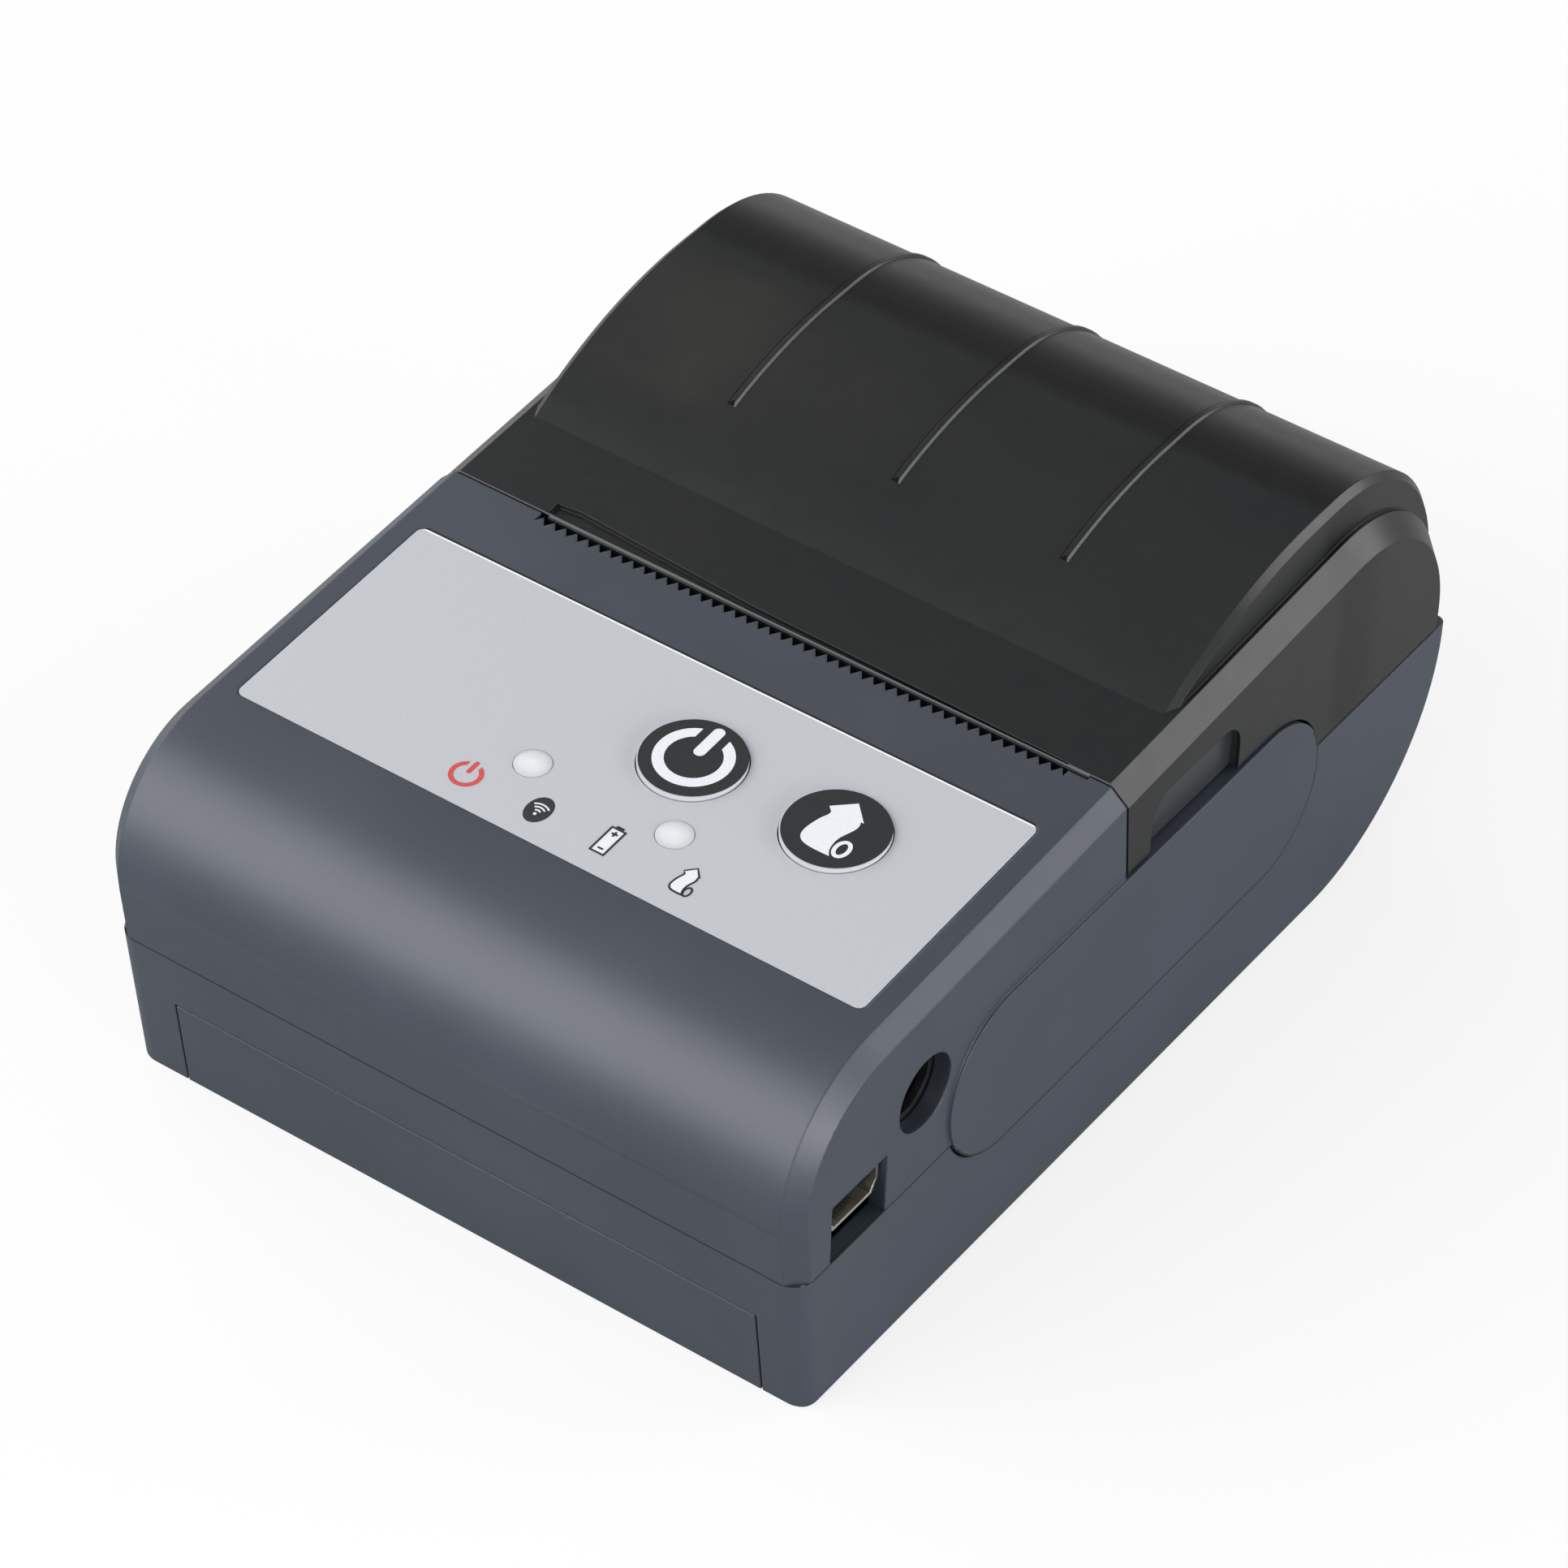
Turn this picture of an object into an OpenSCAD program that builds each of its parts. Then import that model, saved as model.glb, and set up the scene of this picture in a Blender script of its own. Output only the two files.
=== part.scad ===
/* [Casing] */
// Room at each side of the paper for the gears and side plates, with the wall
side_room = 9.25; // [9.2:0.05:10.5]
// Length of the front shell from the centre of the nose to the paper cover
front_l = 36.6; // [35:0.1:40]
// Thickness of the two housings
wall = 1.8; // [1.4:0.1:2]
// Radius of the rounded nose
nose_r = 12.9; // [12:0.1:14]
// Height of the centre of the nose above the base
nose_z = 24.7; // [24:0.1:26]
// Rise of the top towards the rear, in degrees
top_slope = 3.2; // [2.5:0.1:4]
// Lean of the front face, in degrees
front_lean = 7.3; // [5:0.1:9]
// Bevel along the edges of the upper housing
top_bevel = 1.7; // [1.2:0.1:2.2]
// Radius of the upright front corners of the lower housing
corner_r = 2.3; // [1.5:0.1:3]
// Radius of the edges round the base
base_r = 1; // [0.6:0.1:1.4]
// How much more room the rounded tail has than the paper roll
tail_room = 0.1; // [0:0.05:0.5]
// Height of the seam between the housings
seam_z = 16.7; // [16.2:0.1:17.2]
// Height of the rear rim of the lower housing
rim_z = 21.6; // [21.2:0.1:21.8]
// Seam gap between parts of the casing
seam_gap = 0.25; // [0.15:0.05:0.35]

/* [Side pads] */
// Height of the centre line of a side pad
pad_z = 20.3; // [20:0.1:21]
// Radius of the rounded ends of a side pad
pad_r = 8.7; // [8:0.1:9]
// Distance of a side pad's front rounding from the front of the nose
pad_front = 31.7; // [30:0.1:33]
// Distance of a side pad's rear rounding from the rear wall
pad_rear = 32; // [31:0.1:35]
// How far a side pad stands out of the wall
pad_proud = 0.3; // [0.2:0.05:0.6]

/* [Paper cover] */
// Thickness of the cover
cover_wall = 1.6; // [1.2:0.1:1.8]
// Lean of the front edge of the cover seen from the side, in degrees
cover_lean = 5.2; // [3:0.1:7]
// Radius of the rounded rear of the cover's rim
cover_r = 17.4; // [16.5:0.1:18]
// Bevel along the edges of the cover's rim
cover_bevel = 2; // [1.5:0.1:2.4]
// Room between the paper roll and the dome
roll_room = 3.8; // [3:0.1:5]
// Distance of the dome from the side walls
dome_side = 2.4; // [2:0.1:3.5]
// How far behind the middle of the paper roll the crest starts
crest_back = 0.7; // [0:0.1:1.5]
// Length of the flat crest of the dome
crest_l = 3.7; // [3:0.1:4.4]
// Radius of the front arc of the dome
dome_front_r = 47; // [45:0.5:50]
// Bevel along the ends of the dome
dome_bevel = 0.7; // [0.4:0.1:1]
// Number of ribs over the dome
rib_n = 3; // [1:1:5]
// Spacing of the ribs over the dome
rib_pitch = 18.5; // [10:0.5:20]
// Width of a rib on the dome
rib_w = 0.8; // [0.5:0.1:1.4]
// Height of a rib on the dome
rib_h = 0.25; // [0.15:0.05:0.4]
// Length of the ribs in front of the crest
rib_l = 15.4; // [13:0.1:17]
// Depth of the finger grips
grip_depth = 1; // [0.6:0.1:1.2]
// Distance of the finger grips from the front edge of the cover
grip_back = 4.5; // [4:0.1:5.5]
// Length of the finger grips
grip_l = 14.5; // [12:0.5:16]
// Height of the finger grips above the side pads
grip_h = 6; // [5:0.1:6.4]

/* [Hinge] */
// Radius of the hinge barrels
barrel_r = 1.7; // [1.5:0.05:1.8]
// How far the hinge barrels stand out behind the casing
barrel_proud = 0.5; // [0.3:0.05:0.7]
// Height of the hinge axis
hinge_z = 20.4; // [20.2:0.05:20.5]
// Radius of the hinge pins
pin_r = 0.8; // [0.6:0.05:0.9]
// Running clearance round a pin or shaft
run_gap = 0.05; // [0.03:0.01:0.08]
// Length of one hinge barrel
barrel_l = 6; // [4:0.5:8]
// Distance of the inner hinge barrels from the middle
barrel_x = 13.7; // [10:0.1:18]
// Gap between neighbouring parts that move
move_gap = 0.3; // [0.2:0.05:0.35]

/* [Paper path] */
// Width of the paper
paper_w = 57.5; // [56:0.5:58]
// How far the paper path lies right of the middle
paper_x = 2.9; // [2.5:0.1:3.1]
// Diameter of a full paper roll
roll_d = 38; // [34:0.5:38]
// Thickness of the paper tray
tray_t = 1.2; // [0.8:0.1:1.4]
// Gap between the paper tray and the floor
tray_lift = 0.4; // [0.3:0.1:0.8]
// Gap between the paper tray and the mechanism
tray_front_gap = 1.2; // [0.8:0.1:2]
// Gap between the paper tray and the rear wall
tray_rear_gap = 1.3; // [1:0.1:2]
// Spacing of the teeth on the tear edge
tooth_pitch = 1.27; // [1:0.01:1.3]
// Length of a tooth on the tear edge
tooth_l = 0.9; // [0.6:0.1:1]
// Gap between the tear edge and the cover
slot_gap = 0.7; // [0.6:0.1:0.9]
// How far the paper lip stands out in front of the cover
lip_l = 0.5; // [0.3:0.05:0.5]
// Thickness of the paper lip
lip_t = 0.9; // [0.7:0.1:1.2]
// Width of the groove behind the lip at its left end
groove_w = 1.9; // [1.4:0.1:2]
// Depth of the groove behind the lip
groove_depth = 0.5; // [0.4:0.1:0.6]

/* [Print mechanism] */
// Radius of the rubber platen
platen_r = 4.5; // [4:0.1:4.6]
// How far the platen lies behind the front edge of the cover
platen_back = 5.4; // [5:0.1:6]
// Height of the platen
platen_z = 32.4; // [32:0.1:32.8]
// Radius of the platen shaft
shaft_r = 1.5; // [1.2:0.1:1.8]
// Radius of the platen bushes
bush_r = 2.9; // [2.4:0.1:3.1]
// Thickness of the side plates of the frame
plate_t = 1; // [0.8:0.1:1.2]
// Thickness of the ears of the platen holder
ear_t = 1.4; // [1:0.1:1.5]
// Thickness of the ceramic of the print head
head_t = 1; // [0.6:0.1:1.2]
// Height of the ceramic of the print head
head_h = 10; // [8:0.5:11]
// Thickness of the heat sink behind the print head
sink_t = 2.6; // [2.2:0.1:3]
// Radius of the head pivot pin
head_pin_r = 0.9; // [0.7:0.05:1]
// Wire thickness of the head springs
spring_wire = 0.4; // [0.3:0.05:0.5]
// Radius of the head springs
spring_r = 2; // [1.6:0.1:2.4]
// Radius of the feed motor
motor_r = 7.5; // [7:0.1:7.8]
// Length of the feed motor
motor_l = 11.5; // [9:0.5:13]

/* [Gears] */
// Module of the gear pair at the platen
fine_m = 0.5; // [0.5:0.01:0.52]
// Module of the gear pair at the motor
motor_m = 0.4; // [0.38:0.01:0.4]
// Teeth of the platen gear
platen_teeth = 18; // [17:1:18]
// Teeth of the small wheel of the reduction gear
small_teeth = 16; // [15:1:17]
// Teeth of the large wheel of the reduction gear
large_teeth = 36; // [34:1:36]
// Teeth of the motor pinion
pinion_teeth = 12; // [11:1:13]
// Width of the gears at the platen
fine_w = 2.4; // [1.8:0.1:2.6]
// Width of the gears at the motor
motor_w = 1.9; // [1.5:0.1:2]
// Part of each tooth that is taken off for backlash
backlash = 0.22; // [0.18:0.01:0.3]

/* [Label and buttons] */
// Distance of the label from the side walls
label_side = 3.9; // [3.4:0.1:6]
// Distance of the label from the centre of the nose
label_front = 1.5; // [0.5:0.1:2]
// Distance of the label from the front edge of the cover
label_rear = 8.1; // [7:0.1:9]
// Thickness of the label
label_t = 0.4; // [0.3:0.05:0.5]
// Radius of the buttons
button_r = 5; // [4.5:0.1:5.4]
// Gap round a button
button_gap = 0.13; // [0.1:0.01:0.2]
// How far the buttons stand out of the label
button_proud = 0.4; // [0.2:0.05:0.7]
// Travel of the buttons
button_travel = 0.5; // [0.3:0.05:0.6]
// Where the power button lies
power_x = 4.45; // [4:0.05:5]
// Where the feed button lies
feed_x = 19.9; // [19.5:0.05:20.4]
// How far the buttons lie behind the middle of the label
button_back = 2.8; // [2.4:0.1:3.2]
// Radius of the light windows
window_r = 1.75; // [1.4:0.05:2]
// Where the left light window lies
window_left_x = -6.9; // [-7.4:0.1:-6.4]
// Where the right light window lies
window_right_x = 8.6; // [8:0.1:9]
// How far the light windows lie in front of the middle of the label
window_front = 5.5; // [5:0.1:6]

/* [Sockets and boards] */
// Height of the top of the main board
board_z = 19.4; // [19.2:0.1:19.8]
// Thickness of the boards
board_t = 1.6; // [1.2:0.1:1.8]
// How far the power jack lies behind the centre of the nose
jack_back = 6.2; // [5.8:0.1:6.4]
// Height of the power jack hole above the main board
jack_h = 7.2; // [7:0.1:7.4]
// Radius of the hole in the casing for the power jack
jack_hole_r = 3.9; // [3.7:0.05:4.1]
// Radius of the bore of the power jack
jack_r = 3.2; // [2.9:0.05:3.3]
// Radius of the centre pin of the power jack
jack_pin_r = 1.05; // [0.8:0.05:1.25]
// How far the data socket lies in front of the centre of the nose
data_front = 3.4; // [3.2:0.1:3.6]
// Width of the opening of the data socket
data_w = 7; // [6.8:0.1:7.4]
// Height of the opening of the data socket
data_h = 3.2; // [3:0.1:3.4]

/* [Battery] */
// Distance of the battery pack from the side walls
pack_side = 9.5; // [9:0.1:12]
// Distance of the battery pack from the front of the nose
pack_front = 7.3; // [7:0.1:9]
// Height of the battery pack
pack_h = 11; // [10:0.1:11.2]
// How much wider than the pack the front flap is at each side
flap_side = 3.75; // [3:0.05:4.5]
// Height of the front flap of the battery door
flap_h = 10.2; // [9:0.1:11]
// Gap round the battery door
door_gap = 0.2; // [0.15:0.05:0.3]

/* [Screws] */
// Radius of the screw shanks
shank_r = 0.8; // [0.7:0.05:0.9]
// Radius of the screw heads
screw_head_r = 1.6; // [1.4:0.05:1.7]
// Height of the screw heads
screw_head_h = 1.1; // [0.9:0.05:1.2]
// Radius of the screw posts of the casing
post_r = 2.6; // [2.4:0.05:2.7]

/* [Hidden] */
$fn = 72;
far = 100;

// The width follows the paper, the length what lies one behind the other
case_w = paper_w + 2 * side_room;
half_w = case_w / 2;
inner_w = half_w - wall;
frame_back = 6.5;
case_l = nose_r + front_l + platen_back + frame_back + tray_front_gap
    + roll_d + 2 * tray_t + tray_rear_gap + wall + barrel_proud;
front_y = -case_l / 2;
nose_y = front_y + nose_r;
cover_front_y = nose_y + front_l;
platen_y = cover_front_y + platen_back;
frame_rear_y = platen_y + frame_back;
roll_y = frame_rear_y + tray_front_gap + tray_t + roll_d / 2;
roll_z = wall + tray_lift + tray_t + roll_d / 2;
rear_y = case_l / 2 - barrel_proud;
hinge_y = case_l / 2 - barrel_r;
pad_front_y = front_y + pad_front;
pad_rear_y = rear_y - pad_rear;
paper_left = paper_x - paper_w / 2;
paper_right = paper_x + paper_w / 2;

// Housings and cover
nose_lap = 3;
tail_r = roll_d / 2 + wall + tail_room;
tail_y = rear_y - tail_r;
cover_y = rear_y - cover_r;
cover_low_z = rim_z + seam_gap;
pad_top_z = pad_z + pad_r + seam_gap;
dome_w = case_w - 2 * dome_side;
dome_top = roll_z + roll_d / 2 + roll_room + cover_wall;
crest_y = roll_y + crest_back;
dome_rear_r = rear_y - 0.1 - crest_y - crest_l;
dome_rear_z = dome_top - dome_rear_r;
tooth_n = floor((paper_w + 1) / tooth_pitch);
lip_x = paper_left + 0.45;
lip_w = paper_w + 1.8;

// Label, buttons and sockets
label_w = case_w - 2 * label_side;
label_l = front_l - label_front - label_rear;
label_y = nose_y + label_front + label_l / 2;
button_y = label_y + button_back;
window_y = label_y - window_front;
jack_y = nose_y + jack_back;
jack_body_w = 9;
jack_body_l = 12.9;
data_y = nose_y - data_front;

// Layers across the mechanism, from the roller ends outwards
roller_left = paper_left - 0.25;
roller_right = paper_right + 0.25;
ear_left = roller_left - move_gap - ear_t;
ear_right = roller_right + move_gap + ear_t;
plate_gap = 0.5;
plate_left = ear_left - plate_gap;
plate_right = ear_right + plate_gap;
frame_left = plate_left - plate_t;
frame_right = plate_right + plate_t;
fine_x = frame_left - 0.8 - fine_w;
motor_gear_x = fine_x - 0.6 - motor_w;

// Gear centres in the side view
lift_angle = atan2(hinge_y - platen_y, platen_z - hinge_z);
fine_centre = fine_m * (platen_teeth + small_teeth) / 2;
motor_centre = motor_m * (large_teeth + pinion_teeth) / 2;
idler_y = platen_y - fine_centre * cos(lift_angle);
idler_z = platen_z - fine_centre * sin(lift_angle);
motor_angle = 270;
motor_y = idler_y + motor_centre * cos(motor_angle);
motor_z = idler_z + motor_centre * sin(motor_angle);
idler_phase = lift_angle + 180 / small_teeth;

// Print head, standing in front of the platen
head_gap = 0.1;
head_y = platen_y - platen_r - head_gap;
sink_y = head_y - head_t;
sink_back = sink_y - sink_t;
head_low_z = platen_z - 7;
head_pin_y = sink_y - sink_t / 2;
head_pin_z = head_low_z - 2.6;
sink_low_z = head_pin_z - 1.7;
frame_front_y = sink_back - 4.4;
frame_low_z = motor_z - motor_r - 1.8;
post_y_front = jack_y + jack_body_w / 2 + 1.1 + post_r;
post_y_rear = frame_front_y - 0.6 - post_r;
post_x = inner_w - post_r;
post_seat_z = seam_z - 8;
jack_z = board_z + jack_h;
spring_z = platen_z - 3.4;
spring_turns = 4;
ribbon_z = sink_low_z - 0.6;
gear_post_r = 1;
motor_shaft_r = 0.75;
tray_left = paper_left - 0.6 - tray_t;
tray_right = paper_right + 0.6 + tray_t;
tray_rest_x = 14;

// Platen holder under the front of the cover
holder_y = platen_y + platen_r + 0.6;
holder_top_z = platen_z + 5;
holder_screw_y = holder_y + 5;

// Main board and key board
board_half_w = post_x - post_r - 0.5;
board_rear_y = frame_front_y - 1.8;
radio_w = 15;
radio_l = 9;
radio_x = 1.5 - board_half_w;
radio_y = nose_y - 6.1;
key_depth = 8.6;
switch_h = 3.8;
key_ribbon_y = board_rear_y - 4.2;
key_front_y = window_y - 3.5;

// Battery bay under the main board
bay_rear_y = frame_front_y - 1.8;
pack_w = case_w - 2 * pack_side;
flap_w = pack_w + 2 * flap_side;
bay_w = pack_w + 3;
bay_x = 0.6;
pack_z = wall + 1.1;
bay_top_z = pack_z + pack_h + 0.3;
bay_t = 1.2;
door_rear_y = bay_rear_y + 0.8;
pack_rear_y = bay_rear_y - 0.7;
pack_l = pack_rear_y - front_y - pack_front;
contact_w = 2;
contact_t = 0.3;
contact_pitch = 6;
tongue_x = bay_w / 2 - 12;
tongue_w = 6;
tongue_top = wall + 0.9;

// Height of the top of the casing at y
function top_z(y) = nose_z + nose_r / cos(top_slope) + (y - nose_y) * tan(top_slope);

// Position of the front face of the casing at height z
function face_y(z) =
    nose_y - nose_r / cos(front_lean) + (nose_z - z) * tan(front_lean);

// Stands a side view, drawn as y and z, between two places across the part
module side_view(x0, x1)
    translate([x0, 0, 0])
        rotate(120, [1, 1, 1])
            linear_extrude(x1 - x0)
                children();

module rod_x(x0, x1, y, z, r)
    side_view(x0, x1)
        translate([y, z])
            circle(r);

// Outline across an edge, bevelled at both sides
module bevelled_edge(r, w, e, depth)
    polygon([[-depth, -w / 2], [r - e, -w / 2], [r, -w / 2 + e],
        [r, w / 2 - e], [r - e, w / 2], [-depth, w / 2]]);

// Outline across an edge, rounded at both sides
module rounded_edge(r, w, e, depth) {
    translate([-depth, -w / 2 + e])
        square([r + depth, w - 2 * e]);
    translate([-depth, -w / 2])
        square([r - e + depth, w]);
    for (side = [-1, 1])
        translate([r - e, side * (w / 2 - e)])
            circle(e);
}

// A wheel, or part of one, and bars with the same edge blend into one rounded shell
module wheel(start = 0, sweep = 360)
    rotate([0, 90, 0])
        rotate(start)
            rotate_extrude(sweep, $fn = 144)
                children();

module bar(l)
    rotate(-120, [1, 1, 1])
        linear_extrude(l)
            children();

module rounded_plate(w, l, r) {
    square([w - 2 * r, l], center = true);
    square([w, l - 2 * r], center = true);
    for (sx = [-1, 1], sy = [-1, 1])
        translate([sx * (w / 2 - r), sy * (l / 2 - r)])
            circle(r);
}

// Places a thing on the sloping top
module on_top(x, y)
    translate([x, y, top_z(y)])
        rotate([top_slope, 0, 0])
            children();

module stadium(grow) {
    translate([pad_front_y, pad_z - pad_r - grow])
        square([pad_rear_y - pad_front_y, 2 * (pad_r + grow)]);
    for (y = [pad_front_y, pad_rear_y])
        translate([y, pad_z])
            circle(pad_r + grow);
}

module screw(l) {
    difference() {
        cylinder(r = screw_head_r, h = screw_head_h);
        for (turn = [0, 90])
            rotate(turn)
                translate([-screw_head_r * 0.6, -0.18, screw_head_h - 0.5])
                    cube([screw_head_r * 1.2, 0.36, 1]);
    }
    translate([0, 0, -l])
        cylinder(r = shank_r, h = l + 0.1);
}

// Casing

module upper_body(inset) {
    w = case_w - 2 * inset;
    r = nose_r - inset;
    e = top_bevel - inset * 0.4;
    translate([0, nose_y, nose_z]) {
        wheel(180 + top_slope - nose_lap, 90 + front_lean - top_slope + 2 * nose_lap)
            bevelled_edge(r, w, e, 0);
        rotate([top_slope, 0, 0])
            bar(far)
                bevelled_edge(r, w, e, 24);
        rotate([90 + front_lean, 0, 0])
            translate([0, -far / 2, 0])
                bar(far / 2)
                    bevelled_edge(r, w, e, 8);
    }
}

module upper_posts() {
    for (side = [-1, 1], y = [post_y_front, post_y_rear])
        translate([side * post_x, y, seam_z])
            cylinder(r = post_r, h = far);
    for (spot = key_board_spots())
        on_top(spot[0], spot[1])
            translate([0, 0, -key_depth])
                cylinder(r = 1.8, h = key_depth);
}

module tear_teeth()
    translate([0, 0, top_z(cover_front_y) - far])
        linear_extrude(2 * far)
            for (k = [0 : tooth_n - 1])
                translate([paper_x + (k - tooth_n / 2) * tooth_pitch,
                    cover_front_y - slot_gap - tooth_l])
                    polygon([[0, 0], [tooth_pitch, 0], [tooth_pitch / 2, tooth_l]]);

module upper_housing()
    color("#4e535e")
        difference() {
            union() {
                difference() {
                    upper_body(0);
                    upper_body(wall);
                }
                intersection() {
                    upper_body(wall / 2);
                    upper_posts();
                }
                for (side = [0, 1])
                    mirror([side, 0, 0])
                        side_view(inner_w, half_w + pad_proud)
                            stadium(0);
            }
            // Below the seam, apart from the side pads
            difference() {
                translate([-far, -far, -far])
                    cube([2 * far, 2 * far, far + seam_z]);
                side_view(-far, far)
                    stadium(0);
            }
            // Behind the front shell, apart from the side pads
            difference() {
                translate([0, cover_front_y - move_gap, top_z(cover_front_y)])
                    rotate([cover_lean, 0, 0])
                        translate([-far, 0, -far])
                            cube([2 * far, 2 * far, 2 * far]);
                side_view(-far, far)
                    stadium(0);
            }
            // Room behind the tear edge
            difference() {
                translate([paper_x - tooth_n / 2 * tooth_pitch,
                    cover_front_y - slot_gap - tooth_l, platen_z])
                    cube([tooth_n * tooth_pitch, far, far]);
                tear_teeth();
            }
            // Room in front of the paper lip
            translate([lip_x - seam_gap, cover_front_y - lip_l - 0.2, platen_z])
                cube([lip_w + 2 * seam_gap, far, far]);
            on_top(0, label_y)
                translate([0, 0, -label_t])
                    linear_extrude(far)
                        rounded_plate(label_w + 0.2, label_l + 0.2, 0.9);
            for (x = [power_x, feed_x])
                on_top(x, button_y)
                    cylinder(r = button_r + button_gap, h = 8, center = true);
            for (x = [window_left_x, window_right_x])
                on_top(x, window_y)
                    cylinder(r = window_r + 0.05, h = 8, center = true);
            rod_x(0, far, jack_y, jack_z, jack_hole_r);
            translate([inner_w - 1, data_y - data_w / 2 - 0.6, seam_z - 1])
                cube([far, data_w + 1.2, board_z + data_h + 0.9 - seam_z + 1]);
            for (side = [-1, 1], y = [post_y_front, post_y_rear])
                translate([side * post_x, y, seam_z - 1])
                    cylinder(r = shank_r + 0.05, h = 9);
            for (spot = key_board_spots())
                on_top(spot[0], spot[1])
                    translate([0, 0, -key_depth - 1])
                        cylinder(r = shank_r + 0.05, h = 6);
        }

module lower_body(inset) {
    w = case_w - 2 * inset;
    intersection() {
        translate([0, nose_y, nose_z])
            rotate([90 + front_lean, 0, 0])
                translate([0, -far / 2, -far])
                    bar(far)
                        rounded_edge(nose_r - inset + far, w, corner_r - inset * 0.8, far);
        union() {
            translate([0, tail_y, tail_r])
                wheel()
                    rounded_edge(tail_r - inset, w, base_r - inset * 0.4, 0);
            translate([0, tail_y, tail_r])
                rotate([180, 0, 0])
                    bar(far)
                        rounded_edge(tail_r - inset, w, base_r - inset * 0.4, tail_r);
        }
    }
}

// The two upper seams of the lower housing
module above_seam(lift) {
    translate([-far, -far, seam_z + lift])
        cube([2 * far, far + pad_front_y, far]);
    translate([-far, pad_front_y, pad_z + lift])
        cube([2 * far, pad_rear_y - pad_front_y, far]);
    translate([-far, pad_front_y, rim_z + lift])
        cube([2 * far, 2 * far, far]);
}

module door_region(grow) {
    translate([bay_x - flap_w / 2 - grow, -far, -far])
        cube([flap_w + 2 * grow, far + face_y(0) + 4, far + flap_h + grow]);
    translate([bay_x - bay_w / 2 - grow, -far, -far])
        cube([bay_w + 2 * grow, far + door_rear_y + grow, far + wall + grow]);
}

module lower_inside() {
    // Battery bay
    difference() {
        translate([bay_x - bay_w / 2 - bay_t, -far, 0])
            cube([bay_w + 2 * bay_t, far + bay_rear_y + bay_t, bay_top_z + bay_t]);
        translate([bay_x - bay_w / 2, -far, -1])
            cube([bay_w, far + bay_rear_y, bay_top_z + 1]);
    }
    for (side = [-1, 1], y = [post_y_front, post_y_rear])
        translate([side * post_x, y, 0])
            cylinder(r = post_r, h = seam_z);
    for (spot = frame_spots())
        translate([spot[0], spot[1], 0])
            cylinder(r = 2.2, h = frame_low_z);
    for (spot = board_spots())
        translate([spot[0], spot[1], bay_top_z])
            cylinder(r = 2, h = board_z - board_t - bay_top_z);
    for (x = [-tray_rest_x, tray_rest_x])
        translate([x - 0.6, roll_y - 8, 0])
            cube([1.2, 14, roll_z - roll_d / 2 - tray_t]);
}

// A hinge barrel, and the neck that carries it from z upwards
module barrel(x)
    rod_x(x, x + barrel_l, hinge_y, hinge_z, barrel_r);

module barrel_neck(x, z)
    translate([x, hinge_y - barrel_r, z])
        cube([barrel_l, far, 4]);

module both_sides()
    for (side = [0, 1])
        mirror([side, 0, 0])
            children();

module lower_housing()
    color("#4b505b")
        difference() {
            union() {
                difference() {
                    intersection() {
                        lower_body(0);
                        union() {
                            difference() {
                                lower_body(0);
                                lower_body(wall);
                            }
                            lower_inside();
                        }
                    }
                    above_seam(0);
                    both_sides()
                        side_view(inner_w - 0.1, far)
                            stadium(seam_gap);
                    both_sides()
                        rod_x(barrel_x - move_gap, barrel_x + barrel_l + move_gap / 2,
                            hinge_y, hinge_z, barrel_r + move_gap);
                    both_sides()
                        translate([barrel_x - move_gap, hinge_y - barrel_r - move_gap,
                            hinge_z - barrel_r / 2])
                            cube([barrel_l + 1.5 * move_gap, far, far]);
                }
                both_sides() {
                    barrel(barrel_x + barrel_l + move_gap);
                    intersection() {
                        lower_body(0);
                        barrel_neck(barrel_x + barrel_l + move_gap, hinge_z - 4);
                    }
                }
            }
            both_sides()
                rod_x(barrel_x + barrel_l, barrel_x + 2 * barrel_l + 1,
                    hinge_y, hinge_z, pin_r + 0.01);
            door_region(door_gap);
            for (x = [-tongue_x, tongue_x])
                translate([bay_x + x - tongue_w / 2 - 0.2, door_rear_y - 2, 0.5])
                    cube([tongue_w + 0.4, 2 + door_gap, tongue_top - 0.3]);
            for (x = [-tongue_x, tongue_x])
                translate([bay_x + x - tongue_w / 2 - 0.2, door_rear_y - 2, wall])
                    cube([tongue_w + 0.4, 4, tongue_top - wall + 0.2]);
            for (side = [-1, 1], y = [post_y_front, post_y_rear])
                translate([side * post_x, y, -1]) {
                    cylinder(r = screw_head_r + 0.2, h = post_seat_z + 1);
                    cylinder(r = shank_r + 0.1, h = far);
                }
            for (spot = frame_spots())
                translate([spot[0], spot[1], wall])
                    cylinder(r = shank_r + 0.05, h = far);
            for (spot = board_spots())
                translate([spot[0], spot[1], bay_top_z + 0.2])
                    cylinder(r = shank_r + 0.05, h = far);
            for (k = [-1 : 1])
                translate([bay_x + k * contact_pitch - contact_w / 2 - 0.2,
                    bay_rear_y - contact_t - 0.2, bay_top_z - 1])
                    cube([contact_w + 0.4, contact_t + 0.4, far]);
        }

module battery_door()
    color("#4b505b") {
        intersection() {
            difference() {
                lower_body(0);
                lower_body(wall);
            }
            door_region(0);
        }
        // Tongues that hook over the floor of the housing
        for (x = [-tongue_x, tongue_x]) {
            translate([bay_x + x - tongue_w / 2, door_rear_y - 1.4, wall - 0.1])
                cube([tongue_w, 1.4, tongue_top - wall + 0.1]);
            translate([bay_x + x - tongue_w / 2, door_rear_y - 1.4, wall + 0.1])
                cube([tongue_w, 2.9, tongue_top - wall - 0.1]);
        }
    }

// Paper cover

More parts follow.
